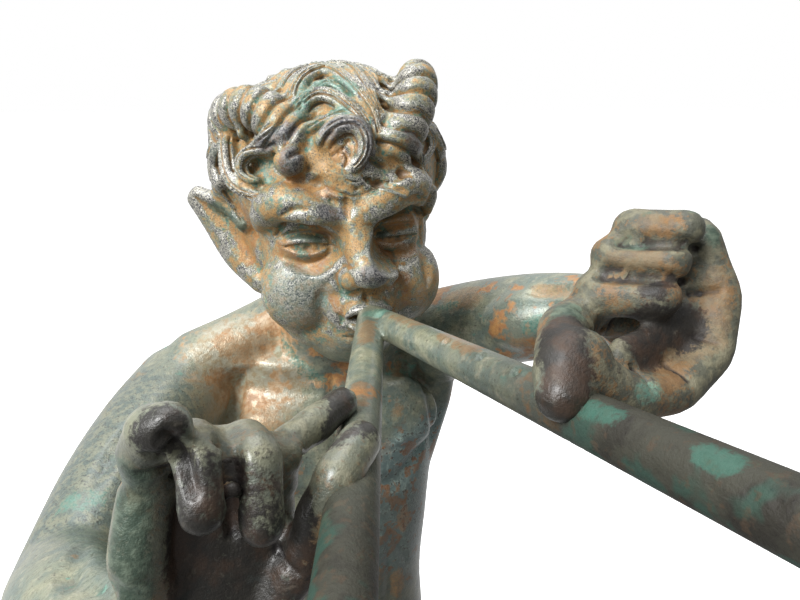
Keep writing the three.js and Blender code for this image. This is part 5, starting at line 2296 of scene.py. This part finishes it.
        # Dark green: the hands' and forearm's own green, and painted shade along the upper lids under the
        # brows.
        moss = (c.attribute("moss_stain") + frayed).step(0.3, 0.85)
        c.paint(moss * 0.85, c.mix(c.small.step(0.4, 0.65), (44, 64, 52), (82, 98, 84)))
        slate = (c.attribute("slate_stain") + frayed).step(0.3, 0.9)
        c.paint(slate * 0.75, c.mix(c.salt, (46, 46, 54), (120, 118, 120)))
        # Near black: painted shade on the palms, finger undersides and fist, over the hands' own dark
        # brown.
        dark = (c.attribute("dark_stain") + frayed).step(0.25, 0.7)
        brown = c.mix(c.middle.step(0.46, 0.66), (20, 16, 15), (54, 38, 28))
        c.paint(dark * 0.94, c.mix(c.small.step(0.6, 0.75) * 0.4, brown, (96, 90, 80)))
        c.metallic = c.metallic * (1 - dark * 0.8)
        c.coat = c.coat * (1 - rust * 0.6) * (1 - dark * 0.5)


@dataclass(frozen=True)
class PipePatina(BronzePatina):
    """The patina of the pipes, which turns darker and duller away from the mouth: partly a brown patina,
    partly painted shade.
    """

    def detail(self, c: Canvas) -> None:
        """Paints the darker far part, partly painted shade, and the green and orange stains over it,
        which darken there too.

        Args:
            c: The canvas.
        """
        # The far part is darkened: partly painted shade, partly a dark brown patina.
        dull = c.mix(c.middle.step(0.42, 0.58), (20, 15, 13), (46, 44, 36))
        dull = c.mix(c.cloud(0.22, 3, 23).step(0.5, 0.58) * 0.75, dull, (30, 60, 51))
        dull = c.mix(c.small.step(0.55, 0.65) * 0.5, dull, (58, 40, 26))
        away = (c.apart(MOUTH) + 12 * (c.middle - 0.5)).step(14, 44)
        c.paint(away * 0.95, dull)
        frayed = 1.6 * (c.small - 0.5) + 1.4 * (c.speck - 0.5) + 1.2 * (c.middle - 0.5)
        # The stains also darken away from the mouth, as part of the painted shade.
        copper = (c.attribute("green_stain") + frayed).step(0.3, 1.0)
        c.paint(copper * 0.66, c.mix(away * 0.85, self.green(c), (40, 82, 70)))
        rust = (c.attribute("orange_stain") + frayed).step(0.35, 1.1)
        c.paint(rust * 0.5, c.mix(away, (140, 100, 58), (70, 46, 26)))
        c.coat = c.coat * (1 - 0.95 * away)
        c.metallic = c.metallic * (1 - 0.9 * away)
        c.rough = c.rough + away * 0.3


# The studio


@dataclass
class Studio:
    """A white table under a large soft light, and the camera close to the pipes.

    Attributes:
        floor_size: The side of the floor.
        camera_place: Where the camera stands.
        camera_down: How far it looks down, in degrees.
        camera_turn: How far it is turned about Z, in degrees.
        lens: Its focal length, in millimetres, on a sensor of the width below.
        sensor: The sensor's width.
    """

    floor_size: float = 40.0
    camera_place: Place = (-0.0163, -0.0904, 0.205)
    camera_down: float = 17.0
    camera_turn: float = -18.0
    lens: float = 28.8
    sensor: float = 36.0

    def build(self) -> None:
        """Sets up floor, camera, lights and surroundings."""
        self.floor()
        self.camera()
        self.surroundings()
        aim = Vector((0, -0.01, 0.16))
        self.softbox("key_softbox", (-0.52, -0.34, 0.72), aim, 0.3, 9.0)
        self.softbox("top_softbox", (-0.05, 0.2, 1.0), aim, 0.6, 5.0)
        self.softbox("side_softbox", (-0.6, -0.2, 0.4), aim, 0.25, 2.0)
        view = bpy.context.scene.view_settings
        view.view_transform = "Standard"
        view.look = "None"

    def floor(self) -> None:
        """Lays the pale floor."""
        sheet = bmesh.new()
        bmesh.ops.create_grid(sheet, x_segments=1, y_segments=1, size=self.floor_size / 2)
        floor = show("studio_floor", sheet)
        material = bpy.data.materials.new("pale_floor")
        material.use_nodes = True
        shader = material.node_tree.nodes["Principled BSDF"]
        shader.inputs["Base Color"].default_value = (0.93, 0.93, 0.93, 1)
        shader.inputs["Roughness"].default_value = 0.7
        shader.inputs["Emission Color"].default_value = (1, 1, 1, 1)
        shader.inputs["Emission Strength"].default_value = 0.35
        floor.data.materials.append(material)
        floor.visible_diffuse = False
        floor.visible_glossy = False

    def camera(self) -> None:
        """Places the camera as the photograph was taken."""
        data = bpy.data.cameras.new("camera")
        data.lens = self.lens
        data.sensor_width = self.sensor
        data.clip_start = 0.001
        camera = bpy.data.objects.new("camera", data)
        camera.location = self.camera_place
        camera.rotation_euler = [math.radians(a) for a in (90 - self.camera_down, 0, self.camera_turn)]
        bpy.context.scene.collection.objects.link(camera)
        bpy.context.scene.camera = camera

    def softbox(self, name: str, place: Place, aim: Vector, size: float, power: float) -> None:
        """Hangs a square soft light.

        Args:
            name: The light's name.
            place: Where it hangs.
            aim: The point that it faces.
            size: Its side.
            power: Its power in watts.
        """
        data = bpy.data.lights.new(name, "AREA")
        data.size = size
        data.energy = power
        light = bpy.data.objects.new(name, data)
        light.location = place
        light.rotation_euler = (aim - Vector(place)).to_track_quat("-Z", "Y").to_euler()
        bpy.context.scene.collection.objects.link(light)

    def surroundings(self) -> None:
        """Makes the surroundings white behind the figure and duller behind the camera."""
        world = bpy.data.worlds.new("white_studio")
        world.use_nodes = True
        bpy.context.scene.world = world
        tree = world.node_tree
        tree.nodes.clear()
        way = node(tree, "ShaderNodeTexCoord", {})
        parts = node(tree, "ShaderNodeSeparateXYZ", {}, way)
        x, y, z = (parts.output(axis) for axis in "XYZ")
        glow = 0.2 + 0.55 * y.step(-0.3, 0.7) + 0.38 * z.step(0.0, 0.8) + 0.14 * x.step(0.2, -0.8)
        seen = node(tree, "ShaderNodeLightPath", {}).output("Is Camera Ray")
        sockets = (("Color", (1, 1, 1, 1)), ("Strength", glow + seen * (1.0 - glow)))
        node(tree, "ShaderNodeOutputWorld", {}, node(tree, "ShaderNodeBackground", {}, *sockets))


FIGURE_BRONZE = FigurePatina("figure_bronze", orange_share=0.6, green_share=0.62)
PIPE_BRONZE = PipePatina("pipe_bronze", orange_share=0.55, green_share=0.7, gloss=0.28)
PLINTH_BRONZE = BronzePatina("plinth_bronze", skin=(104, 102, 82), orange_share=0.55, green_share=0.6)


def main() -> None:
    """Builds and dresses every piece."""
    logging.basicConfig(level=logging.INFO, format="%(asctime)s %(message)s")
    for maker, finish, part, slot in (
        (SatyrFigure(), FIGURE_BRONZE, "satyr_figure", "figure_bronze"),
        (DoublePipe(), PIPE_BRONZE, "double_pipe", "pipe_bronze"),
        (Plinth(), PLINTH_BRONZE, "plinth", "plinth_bronze"),
    ):
        piece = maker.build()
        finish.dress(piece)
        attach(piece, "root")
        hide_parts(part)
        log.info("%s: %d faces", piece.name, len(piece.data.polygons))
    Studio().build()


if __name__ == "__main__":
    main()
